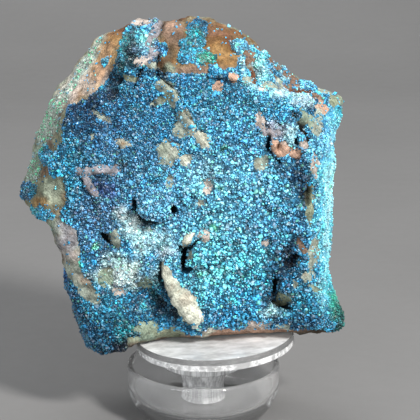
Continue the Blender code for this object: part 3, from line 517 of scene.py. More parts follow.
class Tuft(Enum):
    """The small growths: CAD node, and place and half sizes on the grid."""

    TOP = ("crystal_tuft_top", (Mark(197, 32, 12, 14, 15), Mark(196, 56, 19, 9, 4), Mark(187, 45, 7, 8, 0)))
    LEDGE = ("crystal_tuft_ledge", (Mark(240, 46, 8.5, 7, 10),))
    SHOULDER = ("crystal_tuft_shoulder", (Mark(104.5, 61, 5.5, 4.6, -30),))
    CHEEK = ("crystal_tuft_cheek", (Mark(45, 154, 8, 11, -15),))
    LEFT = ("crystal_tuft_left", (Mark(27, 191, 9, 10, 0),))
    CHIN = ("crystal_tuft_chin", (Mark(41, 214, 12, 7, 8),))


TUFT_TONES = marked(
    (200, 26, 16, 12, 0, Hue.NAVY, 0.75, 0.5), (195, 36, 7, 7, 0, Hue.TEAL, 0.85, 0.5),
    (190, 57, 10, 8, 0, Hue.AZURE, 0.6, 0.5), (207, 56, 9, 5, 0, Hue.MALACHITE, 0.85, 0.5),
    (240, 46, 10, 8, 0, Hue.SKY, 0.65, 0.5), (105, 61, 7, 6, 0, Hue.SKY, 0.5, 0.5),
    (45, 155, 10, 13, 0, Hue.AZURE, 0.7, 0.5), (43, 149, 4, 4, 0, Hue.MALACHITE, 0.8, 0.5),
    (27, 191, 10, 12, 0, Hue.ROYAL, 0.85, 0.5), (42, 215, 13, 8, 0, Hue.AZURE, 0.7, 0.5),
    (34, 211, 4, 4, 0, Hue.TURQUOISE, 0.6, 0.5),
)


def inside_outline(seen: Points, outline: Sequence[tuple[float, float]]) -> np.ndarray:
    """Which seen points lie inside a closed outline on the grid.

    Args:
        seen: the points' places on the grid.
        outline: the outline's corners.

    Returns:
        One answer a point.
    """
    within = np.zeros(len(seen), bool)
    x, y = seen[:, 0], seen[:, 1]
    for (x0, y0), (x1, y1) in zip(outline, (*outline[1:], outline[0])):
        if y0 == y1:
            continue
        crosses = (y0 > y) != (y1 > y)
        within ^= crosses & (x < (x1 - x0) * (y - y0) / (y1 - y0) + x0)
    return within


def blended(start: np.ndarray, marks: Iterable[Mark], seen: Points, ragged: np.ndarray) -> np.ndarray:
    """Colours of seen points after laying marks over a start colour.

    Args:
        start: one colour a point.
        marks: the marks, laid in this order.
        seen: the points' places on the grid.
        ragged: how far each point shifts the marks' edges.

    Returns:
        One colour a point.
    """
    colour = start.copy()
    for mark in marks:
        share = mark.cover(seen, ragged)[:, None]
        colour = colour * (1 - share) + mark.hue.rgb * share
    return colour


# Shader building


class Socket:
    """A node's output that can be used in arithmetic; each operation adds its Math node."""

    def __init__(self, paint: "Paint", output: bpy.types.NodeSocket) -> None:
        """Wrap an output of the paint's node tree."""
        self.paint = paint
        self.output = output

    def _math(self, operation: str, other: Any) -> "Socket":
        """The result of a Math node on this and a value."""
        return self.paint.node("ShaderNodeMath", {"operation": operation}, {0: self, 1: other})

    def __add__(self, other: Any) -> "Socket":
        """Sum with a value."""
        return self._math("ADD", other)

    def __mul__(self, other: Any) -> "Socket":
        """Product with a value."""
        return self._math("MULTIPLY", other)

    __radd__ = __add__
    __rmul__ = __mul__


class Paint:
    """A material and the nodes that feed its shader."""

    def __init__(self, name: str, **constants: Any) -> None:
        """Make a Principled material.

        Args:
            name: the material's name.
            constants: values of its sockets, with _ for a space in their names.
        """
        self.material = bpy.data.materials.new(name)
        self.material.use_nodes = True
        self.tree = self.material.node_tree
        self.shader = self.tree.nodes["Principled BSDF"]
        for key, value in constants.items():
            self.shader.inputs[key.replace("_", " ")].default_value = value

    def node(self, kind: str, settings: dict[str, Any], inputs: dict[Any, Any], output: Any = 0) -> Socket:
        """Add a node.

        Args:
            kind: the node's type.
            settings: its properties, which are set first.
            inputs: values or links by socket name or number.
            output: which output to give back.

        Returns:
            The chosen output.
        """
        made = self.tree.nodes.new(kind)
        for key, value in settings.items():
            setattr(made, key, value)
        for key, value in inputs.items():
            if isinstance(value, Socket):
                self.tree.links.new(value.output, made.inputs[key])
            else:
                made.inputs[key].default_value = value
        return Socket(self, made.outputs[output])

    def place(self) -> Socket:
        """The point's place on the object."""
        return self.node("ShaderNodeTexCoord", {}, {}, "Object")

    def noise(
        self, size_mm: float, detail: float = 3.0, rough: float = 0.6,
        stretch: tuple[float, float, float] = (1.0, 1.0, 1.0), slant_deg: float = 0.0,
    ) -> Socket:
        """Noise with swells of a size.

        Args:
            size_mm: the width of a swell.
            detail: how many finer sizes are added.
            rough: how strong they are.
            stretch: how far the swells are drawn out along each axis.
            slant_deg: turn of those axes about the Y axis.

        Returns:
            The noise, about 0 to 1.
        """
        turn = (0.0, math.radians(slant_deg), 0.0)
        drawn = {"Vector": self.place(), "Rotation": turn, "Scale": stretch}
        place = self.node("ShaderNodeMapping", {"vector_type": "TEXTURE"}, drawn)
        inputs = {"Vector": place, "Scale": 1000.0 / size_mm, "Detail": detail, "Roughness": rough}
        return self.node("ShaderNodeTexNoise", {"noise_dimensions": "3D"}, inputs, "Fac")

    def attribute(self, name: str) -> Socket:
        """A colour stored on the mesh."""
        return self.node("ShaderNodeAttribute", {"attribute_name": name}, {}, "Color")

    def mix(self, share: Any, first: Any, second: Any, blend: str = "MIX") -> Socket:
        """Mix two colours."""
        settings = {"data_type": "RGBA", "blend_type": blend}
        return self.node("ShaderNodeMix", settings, {0: share, 6: first, 7: second}, 2)

    def grey(self, value: Socket) -> Socket:
        """A grey of a brightness."""
        return self.node("ShaderNodeCombineColor", {}, {0: value, 1: value, 2: value})

    def shaded(self, colour: Any, brightness: Socket) -> Socket:
        """A colour times a brightness."""
        return self.mix(1.0, colour, self.grey(brightness), "MULTIPLY")

    def spread(self, value: Socket, low: float, high: float, to_low: float, to_high: float) -> Socket:
        """Map a value from one range to another, held inside it."""
        inputs = {"Value": value, "From Min": low, "From Max": high, "To Min": to_low, "To Max": to_high}
        return self.node("ShaderNodeMapRange", {"clamp": True}, inputs)

    def feed(self, **sockets: Socket) -> None:
        """Link outputs to the shader's sockets."""
        for key, value in sockets.items():
            self.tree.links.new(value.output, self.shader.inputs[key.replace("_", " ")])

    def bump(self, height: Socket, distance_mm: float, strength: float = 1.0) -> Socket:
        """A normal bent by a height."""
        inputs = {"Height": height, "Distance": distance_mm * MM, "Strength": strength}
        return self.node("ShaderNodeBump", {}, inputs, "Normal")


# Between these lie nearly all values of a noise
SWING = (0.3, 0.7)


@dataclass(frozen=True)
class CrystalFinish:
    """Small glassy crystals in the colours stored on the mesh."""

    name: str = "cornetite_crystal"
    refraction: float = 1.55
    speckle_mm: float = 0.35
    brightness: tuple[float, float] = (0.72, 1.25)
    dulling_mm: float = 0.8
    roughness: tuple[float, float] = (0.216, 0.612)
    facet_mm: float = 0.16
    facet_depth_mm: float = 0.03
    facet_strength: float = 0.6

    def material(self) -> bpy.types.Material:
        """Make the material.

        Returns:
            The material.
        """
        paint = Paint(self.name, IOR=self.refraction)
        shade = paint.spread(paint.noise(self.speckle_mm, 2.0), *SWING, *self.brightness)
        paint.feed(
            Base_Color=paint.shaded(paint.attribute("tint"), shade),
            Roughness=paint.spread(paint.noise(self.dulling_mm), *SWING, *self.roughness),
            Normal=paint.bump(paint.noise(self.facet_mm, 2.0), self.facet_depth_mm, self.facet_strength),
        )
        return paint.material


@dataclass(frozen=True)
class BedFinish:
    """The dull, finely crystalline ground between the larger crystals."""

    name: str = "crust_bed"
    refraction: float = 1.6
    shine: float = 0.15
    grain_mm: float = 0.3
    grain_span: tuple[float, float] = (0.35, 0.65)
    brightness: tuple[float, float] = (0.45, 1.2)
    roughness: tuple[float, float] = (0.75, 0.45)
    depth_mm: float = 0.18

    def material(self) -> bpy.types.Material:
        """Make the material.

        Returns:
            The material.
        """
        paint = Paint(self.name, IOR=self.refraction, Specular_IOR_Level=self.shine)
        grain = paint.noise(self.grain_mm, 3.0)
        shade = paint.spread(grain, *self.grain_span, *self.brightness)
        paint.feed(
            Base_Color=paint.shaded(paint.attribute("tint"), shade),
            Roughness=paint.spread(grain, *SWING, *self.roughness),
            Normal=paint.bump(grain, self.depth_mm),
        )
        return paint.material


@dataclass(frozen=True)
class RockFinish:
    """Broken host rock: stored colours, mottled, streaked and pitted."""

    name: str = "host_rock"
    refraction: float = 1.5
    shine: float = 0.25
    mottle_mm: float = 1.8
    grain_mm: float = 0.45
    streak_mm: float = 0.32
    streak_stretch: tuple[float, float, float] = (1.0, 1.0, 7.0)
    streak_slant_deg: float = -37.0
    shade_span: tuple[float, float] = (0.60, 1.00)
    brightness: tuple[float, float] = (0.40, 1.38)
    rust: Rgb = (0.20, 0.085, 0.03)
    rust_mm: float = 1.4
    rust_span: tuple[float, float] = (0.56, 0.68)
    rust_most: float = 0.30
    roughness: tuple[float, float] = (0.92, 0.62)
    depth_mm: float = 0.36

    def material(self) -> bpy.types.Material:
        """Make the material.

        Returns:
            The material.
        """
        paint = Paint(self.name, IOR=self.refraction, Specular_IOR_Level=self.shine)
        mottle = paint.noise(self.mottle_mm, 4.0)
        grain = paint.noise(self.grain_mm, 4.0, 0.7)
        streaks = paint.noise(self.streak_mm, 3.0, 0.6, self.streak_stretch, self.streak_slant_deg)
        shade = paint.spread(mottle * 0.5 + grain * 0.6 + streaks * 0.5, *self.shade_span, *self.brightness)
        base = paint.shaded(paint.attribute("tint"), shade)
        rusty = paint.spread(paint.noise(self.rust_mm, 3.0), *self.rust_span, 0.0, self.rust_most)
        paint.feed(
            Base_Color=paint.mix(rusty, base, (*self.rust, 1.0)),
            Roughness=paint.spread(grain, *SWING, *self.roughness),
            Normal=paint.bump(grain * 0.8 + mottle * 0.5 + streaks * 0.5, self.depth_mm),
        )
        return paint.material


@dataclass(frozen=True)
class AcrylicFinish:
    """Clear plastic, from polished to scuffed."""

    name: str
    roughness: float
    scuff_mm: float
    scuff_size_mm: float
    clearness: float
    refraction: float = 1.49
    haze: tuple[float, float] = (0.93, 0.99)
    stretch: tuple[float, float, float] = (1.0, 1.0, 1.0)
    softness: float = 0.10
    coat: float = 0.0

    def material(self) -> bpy.types.Material:
        """Make the material.

        Returns:
            The material.
        """
        paint = Paint(
            self.name, IOR=self.refraction, Transmission_Weight=self.clearness, Coat_Weight=self.coat
        )
        scuff = paint.noise(self.scuff_size_mm, 4.0, 0.65, self.stretch)
        cloud = paint.noise(self.scuff_size_mm * 5, 3.0, 0.6, self.stretch)
        span = (0.5 - self.softness, 0.5 + self.softness)
        paint.feed(
            Base_Color=paint.grey(paint.spread(scuff * 0.5 + cloud * 0.5, *span, *self.haze)),
            Roughness=paint.spread(scuff, 0.35, 0.7, self.roughness * 0.5, self.roughness * 1.8),
            Normal=paint.bump(scuff, self.scuff_mm),
        )
        return paint.material


@dataclass(frozen=True)
class FloorFinish:
    """Plain pale studio card."""

    name: str = "studio_card"
    colour: Rgb = (0.158, 0.156, 0.154)
    fleck_mm: float = 60.0
    brightness: tuple[float, float] = (0.96, 1.04)
    grain_mm: float = 4.0
    roughness: tuple[float, float] = (0.75, 0.85)

    def material(self) -> bpy.types.Material:
        """Make the material.

        Returns:
            The material.
        """
        paint = Paint(self.name)
        fleck = paint.spread(paint.noise(self.fleck_mm, 2.0), *SWING, *self.brightness)
        paint.feed(
            Base_Color=paint.shaded((*self.colour, 1.0), fleck),
            Roughness=paint.spread(paint.noise(self.grain_mm), *SWING, *self.roughness),
        )
        return paint.material


# Meshes


@dataclass
class Skin:
    """A surface as plain arrays: points, their normals and four-cornered faces."""

    points: np.ndarray
    normals: np.ndarray
    quads: np.ndarray

    @classmethod
    def of_node(cls, node: bpy.types.Object, voxel: float, smoothing: int) -> "Skin":
        """The finely divided and smoothed surface of a CAD node.

        Args:
            node: the CAD object.
            voxel: the size of the new faces, in metres.
            smoothing: how often the surface is smoothed.

        Returns:
            The surface.
        """
        source = bpy.data.objects.new("source", node.data.copy())
        bpy.context.scene.collection.objects.link(source)
        grid = source.modifiers.new("grid", "REMESH")
        grid.mode = "VOXEL"
        grid.voxel_size = voxel
        soften = source.modifiers.new("soften", "SMOOTH")
        soften.factor = 0.5
        soften.iterations = smoothing
        bpy.context.view_layer.update()
        mesh = bpy.data.meshes.new_from_object(source.evaluated_get(bpy.context.evaluated_depsgraph_get()))
        points = np.empty(len(mesh.vertices) * 3)
        mesh.vertices.foreach_get("co", points)
        normals = np.empty(len(mesh.vertices) * 3)
        mesh.vertices.foreach_get("normal", normals)
        quads = np.array([face.vertices[:] for face in mesh.polygons if len(face.vertices) == 4])
        copy = source.data
        bpy.data.objects.remove(source)
        bpy.data.meshes.remove(copy)
        bpy.data.meshes.remove(mesh)
        return cls(points.reshape(-1, 3), normals.reshape(-1, 3), quads)

    def front(self, least_facing: float) -> "Skin":
        """The part that turns towards the front view.

        Args:
            least_facing: how far each point has to turn towards it.

        Returns:
            The smaller skin.
        """
        facing = VIEW.facing(self.points, self.normals) > least_facing
        quads = self.quads[facing[self.quads].all(axis=1)]
        used, compact = np.unique(quads, return_inverse=True)
        return Skin(self.points[used], self.normals[used], compact.reshape(-1, 4))

    def moved(self, lift: np.ndarray) -> np.ndarray:
        """The points, each moved along its normal."""
        return self.points + self.normals * lift[:, None]


def two_ways(noise: Noise, points: Points, size: float, apart: float) -> np.ndarray:
    """A drift of points on the grid from one noise, read at two places apart."""
    return np.stack((noise.rough(points, size, 3), noise.rough(points + apart, size, 3)), axis=1)


@dataclass
class Surface:
    """A skin of the rock and what the marks of the front say about each of its points."""

    skin: Skin
    seed: int = 3
    ragged_size: float = 2.2 * MM
    drift_size: float = 3.1 * MM
    warp: float = 2.4
    seat_heights: tuple[float, float] = (17.8 * MM, 20.2 * MM)
    plate_centre: tuple[float, float] = (2.4 * MM, 0.0)
    plate_reach: float = 18.5 * MM
    plate_fade: float = 2 * MM
    facing: np.ndarray = field(init=False)
    seen: np.ndarray = field(init=False)
    warped: np.ndarray = field(init=False)
    ragged: np.ndarray = field(init=False)
    relief: np.ndarray = field(init=False)
    hollow: np.ndarray = field(init=False)
    freedom: np.ndarray = field(init=False)
    lift: np.ndarray = field(init=False)

    def __post_init__(self) -> None:
        """Work out where each point is seen and how it is raised."""
        points = self.skin.points
        noise = Noise(self.seed)
        self.facing = VIEW.facing(points, self.skin.normals)
        self.seen = VIEW.seen(points)
        self.ragged = 0.30 * noise.rough(points, self.ragged_size, 4)
        drift = two_ways(noise, points, self.drift_size, 0.05)
        self.warped = self.seen + self.warp * drift
        self.freedom = self._freedom()
        front = ease_between(0.02, 0.35, self.facing)
        raised = sum(bump.lift(self.seen + 1.2 * drift) for bump in BUMPS)
        raised = raised + sum(crack.lift(self.seen + drift) for crack in CRACKS)
        self.relief = raised * front * self.freedom
        self.hollow = np.clip(-self.relief / MM, 0, 3)
        self.lift = self.relief + self._broken() * self.freedom

    def _freedom(self) -> np.ndarray:
        """How freely each point may move.

        Returns:
            One value a point, 0 on the flat seat and beside the plate, 1 where it is free.
        """
        x, y, z = self.skin.points.T
        reach = np.hypot(x - self.plate_centre[0], y - self.plate_centre[1])
        above = ease_between(*self.seat_heights, z)
        return np.maximum(above, ease_between(self.plate_reach, self.plate_reach + self.plate_fade, reach))

    def _broken(self) -> np.ndarray:
        """The rough lift of broken rock.

        Returns:
            One lift a point, in metres.
        """
        noise = Noise(self.seed + 1)
        points = self.skin.points
        swell = 0.30 * noise.at(points, 6 * MM) + 0.20 * noise.at(points, 2.6 * MM)
        grit = 0.16 * noise.at(points, 1.5 * MM) + 0.11 * noise.at(points, 0.95 * MM)
        ledges = 0.42 * np.abs(noise.at(points * (1, 1, 2.0), 4.5 * MM)) - 0.16
        chips = 0.22 * np.abs(noise.at(points * (1.6, 1, 0.8), 1.9 * MM)) - 0.08
        return (swell + grit + ledges + chips) * MM

    def laid(self, start: np.ndarray, marks: Iterable[Mark], sharper: float = 0.0) -> np.ndarray:
        """Colours of the points after laying marks over a start colour."""
        return blended(start, marks, self.warped, self.ragged - sharper)

    def under(self, mark: Mark) -> np.ndarray:
        """How far a mark covers each point where it is seen."""
        return mark.cover(self.seen, self.ragged)

    def strongest(self, marks: Iterable[Mark]) -> np.ndarray:
        """The most that any of some marks covers each point."""
        return np.max([mark.cover(self.warped, self.ragged) for mark in marks], axis=0)


def make_piece(
    name: str, points: Points, faces: Any, finish: bpy.types.Material, tint: np.ndarray | None
) -> bpy.types.Object:
    """Make a mesh object.

    Args:
        name: the piece's name.
        points: its points.
        faces: corner numbers of its faces.
        finish: its material.
        tint: a colour for each point, or None.

    Returns:
        The object, linked to the scene.
    """
    mesh = bpy.data.meshes.new(name)
    mesh.from_pydata(points.tolist(), [], faces if isinstance(faces, list) else faces.tolist())
    mesh.materials.append(finish)
    if tint is not None:
        layer = mesh.attributes.new("tint", "FLOAT_COLOR", "POINT")
        rgba = np.concatenate((np.clip(tint, 0, 1), np.ones((len(tint), 1))), axis=1)
        layer.data.foreach_set("color", rgba.ravel())
    piece = bpy.data.objects.new(name, mesh)
    bpy.context.scene.collection.objects.link(piece)
    return piece


def placed(piece: bpy.types.Object, node: str | None = None) -> bpy.types.Object:
    """Set a piece on the part's body.

    Args:
        piece: the piece.
        node: the CAD node that it replaces, if any.

    Returns:
        The piece.
    """
    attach(piece, ROOT)
    if node:
        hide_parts(node)
    return piece


EIGHT_FACES = ((0, 1, 4), (1, 2, 4), (2, 3, 4), (3, 0, 4), (1, 0, 5), (2, 1, 5), (3, 2, 5), (0, 3, 5))


class Habit(Enum):
    """Crystal shapes, as corner points and triangles on a unit scale, and whether they are shaded round."""

    GRAIN = (
        ((0.95, 0.1, 0.15), (0.1, 0.9, 0), (-0.9, 0.1, 0.1), (0, -0.95, 0.05), (0, 0, 0.95), (0, 0, -0.8)),
        EIGHT_FACES,
        True,
    )
    DIAMOND = (
        ((0.9, 0, 0.1), (0, 0.75, -0.05), (-0.85, 0, 0.05), (0, -0.8, 0), (0, 0, 1.05), (0, 0, -0.9)),
        EIGHT_FACES,
        False,
    )
    PRISM = (
        ((0.7, 0.5, -0.9), (-0.6, 0.6, -0.9), (-0.7, -0.5, -0.9), (0.6, -0.6, -0.9),
         (0.75, 0.5, 0.45), (-0.6, 0.62, 0.55), (-0.72, -0.5, 0.4), (0.6, -0.62, 0.5), (0.05, 0, 1.0)),
        ((0, 1, 5), (0, 5, 4), (1, 2, 6), (1, 6, 5), (2, 3, 7), (2, 7, 6), (3, 0, 4), (3, 4, 7),
         (4, 5, 8), (5, 6, 8), (6, 7, 8), (7, 4, 8), (0, 2, 1), (0, 3, 2)),
        False,
    )


@dataclass
class Spots:
    """Where crystals stand: places, surface normals and the surface's nearest points."""

    places: np.ndarray
    normals: np.ndarray
    nearest: np.ndarray

    def __len__(self) -> int:
        """How many there are."""
        return len(self.places)

    def kept(self, which: np.ndarray) -> "Spots":
        """Only the chosen ones."""
        return Spots(self.places[which], self.normals[which], self.nearest[which])


@dataclass
class Crystals:
    """Built crystals: points, triangles, which are shaded round, each point's crystal and its painted root
    shade.
    """

    points: np.ndarray
    triangles: np.ndarray
    rounded: np.ndarray
    owners: np.ndarray
    # Painted shade of each point, darkest at a crystal's root.
    shade: np.ndarray

    def tint(self, colours: np.ndarray) -> np.ndarray:
        """A colour for each point, with painted shade darkening it at the roots."""
        return colours[self.owners] * self.shade[:, None]

    def piece(
        self, name: str, colours: np.ndarray, which: np.ndarray, finish: bpy.types.Material
    ) -> bpy.types.Object:
        """Make one piece of some of the crystals.

        Args:
            name: the piece's name.
            colours: a colour for each crystal.
            which: whether each crystal is in the piece.
            finish: its material.

        Returns:
            The piece.
        """
        chosen = which[self.owners[self.triangles[:, 0]]]
        used, compact = np.unique(self.triangles[chosen], return_inverse=True)
        made = make_piece(name, self.points[used], compact.reshape(-1, 3), finish, self.tint(colours)[used])
        made.data.polygons.foreach_set("use_smooth", self.rounded[chosen])
        return made


@dataclass
class CrystalField:
    """Many small crystals standing on a surface, with narrow gaps between them."""

    spacing: float = 0.305 * MM
    width: float = 0.86
    height: float = 0.86
    size_spread: float = 0.26
    tilt: float = 0.60
    rise: float = 0.12
    shares: tuple[float, float] = (0.30, 0.45)
    missing: float = 0.12
    crowding: int = 6
    unevenness: float = 0.10
    painted_root_shade: float = 0.12

    def spots(self, points: Points, quads: np.ndarray, scale: np.ndarray, dice: np.random.Generator) -> Spots:
        """Pick spots spread evenly at random.

        Args:
            points: the surface's points.
            quads: its faces.
            scale: the size of crystals at each point against the usual, 0 for none.
            dice: the source of random draws.

        Returns:
            The spots.
        """
        corners = points[quads]
        normals = np.cross(corners[:, 2] - corners[:, 0], corners[:, 3] - corners[:, 1])
        area = np.linalg.norm(normals, axis=1)
        normals /= np.maximum(area, 1e-18)[:, None]
        weight = area * (scale[quads].min(axis=1) > 0)
        count = int(weight.sum() / 2 / self.spacing ** 2 * self.crowding)
        chosen = dice.choice(len(quads), count, p=weight / weight.sum())
        u, v = dice.random((2, count, 1))
        quad = corners[chosen]
        near_side = quad[:, 0] * (1 - u) + quad[:, 1] * u
        far_side = quad[:, 3] * (1 - u) + quad[:, 2] * u
        places = near_side * (1 - v) + far_side * v
        nearest = quads[chosen, 0]
        tree = KDTree(count)
        for index, place in enumerate(places):
            tree.insert(place, index)
        tree.balance()
        free = np.ones(count, bool)
        kept = []
        for index, (place, reach) in enumerate(zip(places, self.spacing * scale[nearest])):
            if free[index]:
                kept.append(index)
                for _, other, _ in tree.find_range(place, reach):
                    free[other] = False
        kept = np.array(kept)[dice.random(len(kept)) > self.missing]
        return Spots(places[kept], normals[chosen[kept]], nearest[kept])

    def grow(self, spots: Spots, scale: np.ndarray, dice: np.random.Generator) -> Crystals:
        """Build the crystals.

        Args:
            spots: where they stand.
            scale: each one's size against the usual.
            dice: the source of random draws.

        Returns:
            The crystals.
        """
        count = len(spots)
        axis = spots.normals + dice.normal(size=(count, 3)) * self.tilt
        axis /= np.linalg.norm(axis, axis=1, keepdims=True)
        side = np.cross(axis, dice.normal(size=(count, 3)))
        side /= np.linalg.norm(side, axis=1, keepdims=True)
        frame_of = np.stack((side, np.cross(axis, side), axis), axis=1)
        size = self.spacing * scale * np.exp(dice.normal(size=count) * self.size_spread)
        stretch = np.exp(dice.normal(size=(count, 3)) * 0.20) * (self.width, self.width, self.height)
        draw = dice.random(count)
        limits = (0.0, self.shares[0], sum(self.shares), 1.0)
        grown: list[tuple[np.ndarray, ...]] = []
        total = 0
        for habit, low, high in zip(Habit, limits, limits[1:]):
            members = np.flatnonzero((draw >= low) & (draw < high))
            corners, faces, rounded = np.array(habit.value[0]), np.array(habit.value[1]), habit.value[2]
            uneven = 1 + self.unevenness * dice.normal(size=(len(members), len(corners), 1))
            local = corners[None] * uneven * stretch[members][:, None] * size[members][:, None, None]
            local[:, :, 2] += size[members][:, None] * self.rise
            points = spots.places[members][:, None] + local @ frame_of[members]
            shift = total + np.arange(len(members)) * len(corners)
            # Painted shade: corners low on a crystal are darker, for the shade at its root.
            shade = self.painted_root_shade + (1 - self.painted_root_shade) * ease_between(-0.7, 0.30, corners[:, 2])
            grown.append((
                points.reshape(-1, 3), (faces[None] + shift[:, None, None]).reshape(-1, 3),
                np.full(len(members) * len(faces), rounded),
                np.repeat(members, len(corners)), np.tile(shade, len(members)),
            ))
            total += points.size // 3
        return Crystals(*(np.concatenate(parts) for parts in zip(*grown)))


@dataclass
class HostRock:
    """The broken slab of host rock, as a coarse skin for itself and a fine one for what grows on it."""

    voxel: float = 0.41 * MM
    fine_voxel: float = 0.325 * MM
    smoothing: int = 10
    fine_smoothing: int = 20
    least_facing: float = -0.45
    vein_size: float = 9 * MM
    fleck_size: float = 2.0 * MM
    grit_size: float = 1.1 * MM
    coarse: Surface = field(init=False)
    fine: Surface = field(init=False)

    def measure(self, node: bpy.types.Object) -> None:
        """Read the CAD rock's surface.

        Args:
            node: the CAD rock.
        """
        self.coarse = Surface(Skin.of_node(node, self.voxel, self.smoothing))
        fine = Skin.of_node(node, self.fine_voxel, self.fine_smoothing)
        self.fine = Surface(fine.front(self.least_facing))

    def tint(self, surface: Surface) -> np.ndarray:
        """The bare rock's colour, with painted shade in pits and cracks.

        Args:
            surface: the rock's surface.

        Returns:
            One colour a point.
        """
        noise = Noise(TONE_SEED)
        points = surface.skin.points
        veins = noise.rough(points, self.vein_size, 4)
        flecks = noise.rough(points, self.fleck_size, 3)
        base = Hue.OLIVE.rgb * 0.6 + Hue.TAN.rgb * 0.3
        colour = np.tile(base, (len(points), 1))
        for hue, most, low, high, pattern in (
            (Hue.RUST, 1.0, 0.1, 0.6, veins), (Hue.OCHRE, 0.6, 0.15, 0.6, flecks),
            (Hue.SAGE, 0.6, 0.1, 0.5, -veins), (Hue.UMBER, 0.6, 0.2, 0.7, -flecks),
        ):
            share = most * ease_between(low, high, pattern)[:, None]
            colour = colour * (1 - share) + hue.rgb * share
        front = ease_between(-0.1, 0.15, surface.facing)[:, None]
        toned = surface.laid(colour, ROCK_TONES)
        toned = surface.laid(toned, BARE, 0.35)
        toned = surface.laid(toned, PATCH_TONES)
        # Random grit, and painted shade darkening pits and cracks by their depth.
        grain = np.exp(0.42 * noise.rough(points, self.grit_size, 3) - 0.75 * surface.hollow)[:, None]
        return (colour * (1 - front) + toned * front) * grain

    def build(self, finish: bpy.types.Material) -> bpy.types.Object:
        """Make the rock's piece in place of the CAD node.

        Args:
            finish: its material.

        Returns:
            The piece.
        """
        surface = self.coarse
        points = surface.skin.moved(surface.lift)
        piece = make_piece("rock_body", points, surface.skin.quads, finish, self.tint(surface))
        piece.data.shade_smooth()
        return placed(piece, "host_rock")


def zone_colours(surface: Surface, marks: Iterable[Mark], base: Hue, seed: int) -> np.ndarray:
    """The crust's broad colour at each point of a surface, darkened in pits and cracks as painted shade.

    Args:
        surface: the surface.
        marks: the zones' colours.
        base: the colour before the zones.
        seed: of the noise.

    Returns:
        One colour a point.
    """
    noise = Noise(seed)
    points = surface.skin.points
    drift = two_ways(noise, points, 4 * MM, 0.03)
    colour = np.tile(base.rgb, (len(points), 1))
    colour = blended(colour, marks, surface.seen + 4 * drift, 0.4 * noise.rough(points, 2.5 * MM, 3))
    patchy = 0.30 * noise.rough(points, 2.4 * MM, 3) + 0.22 * noise.at(points, 8 * MM)
    warmer = ease_between(0.25, 0.8, noise.rough(points + 0.11, 3.4 * MM, 3))[:, None]
    turned_green = Hue.TURQUOISE.rgb * colour.max(axis=1)[:, None] * 1.5
    colour = colour * (1 - 0.25 * warmer) + turned_green * 0.25 * warmer
    # Painted shade: darker by the depth of pits and cracks.
    return colour * np.exp(patchy - 1.1 * surface.hollow)[:, None]


# How much red a pale zone has, from hardly pale to wholly.
PALE_SPAN = (0.15, 0.50)

# Hues of odd crystals among the others: the hue, how many take it and how strongly.
ODD_CRYSTALS = (
    (Hue.LILAC, 0.14, 0.48), (Hue.ICE, 0.10, 0.45), (Hue.CYAN, 0.08, 0.50),
    (Hue.MINT, 0.035, 0.60), (Hue.INDIGO, 0.06, 0.50), (Hue.MIDNIGHT, 0.10, 0.65),
)


def crystal_colours(zones: np.ndarray, dice: np.random.Generator) -> np.ndarray:
    """Colours of single crystals, shifted at random from their zones'.

    Args:
        zones: the zone's colour at each crystal.
        dice: the source of random draws.

    Returns:
        One colour a crystal.
    """
    paleness = ease_between(*PALE_SPAN, zones[:, 0])
    spread = 0.40 - 0.22 * paleness
    colour = zones * (np.exp(spread * dice.normal(size=len(zones))) * (1.16 - 0.12 * paleness))[:, None]
    bright = zones.max(axis=1)
    for hue, share, amount in ODD_CRYSTALS:
        own = hue.rgb[None] * np.clip(bright * 1.6, 0.12, 1.0)[:, None]
        picked = (dice.random(len(zones)) < share)[:, None] * amount
        colour = colour * (1 - picked) + own * picked
    return colour


@dataclass
class Bed:
    """A growth's bed: points, faces, the surface's point under each point, and how many faces are on top."""

    points: np.ndarray
    faces: np.ndarray
    owners: np.ndarray
    top: int

    @property
    def upward(self) -> np.ndarray:
        """The faces that crystals stand on: the top's and the edge's."""
        return np.concatenate((self.faces[:self.top], self.faces[2 * self.top:]))


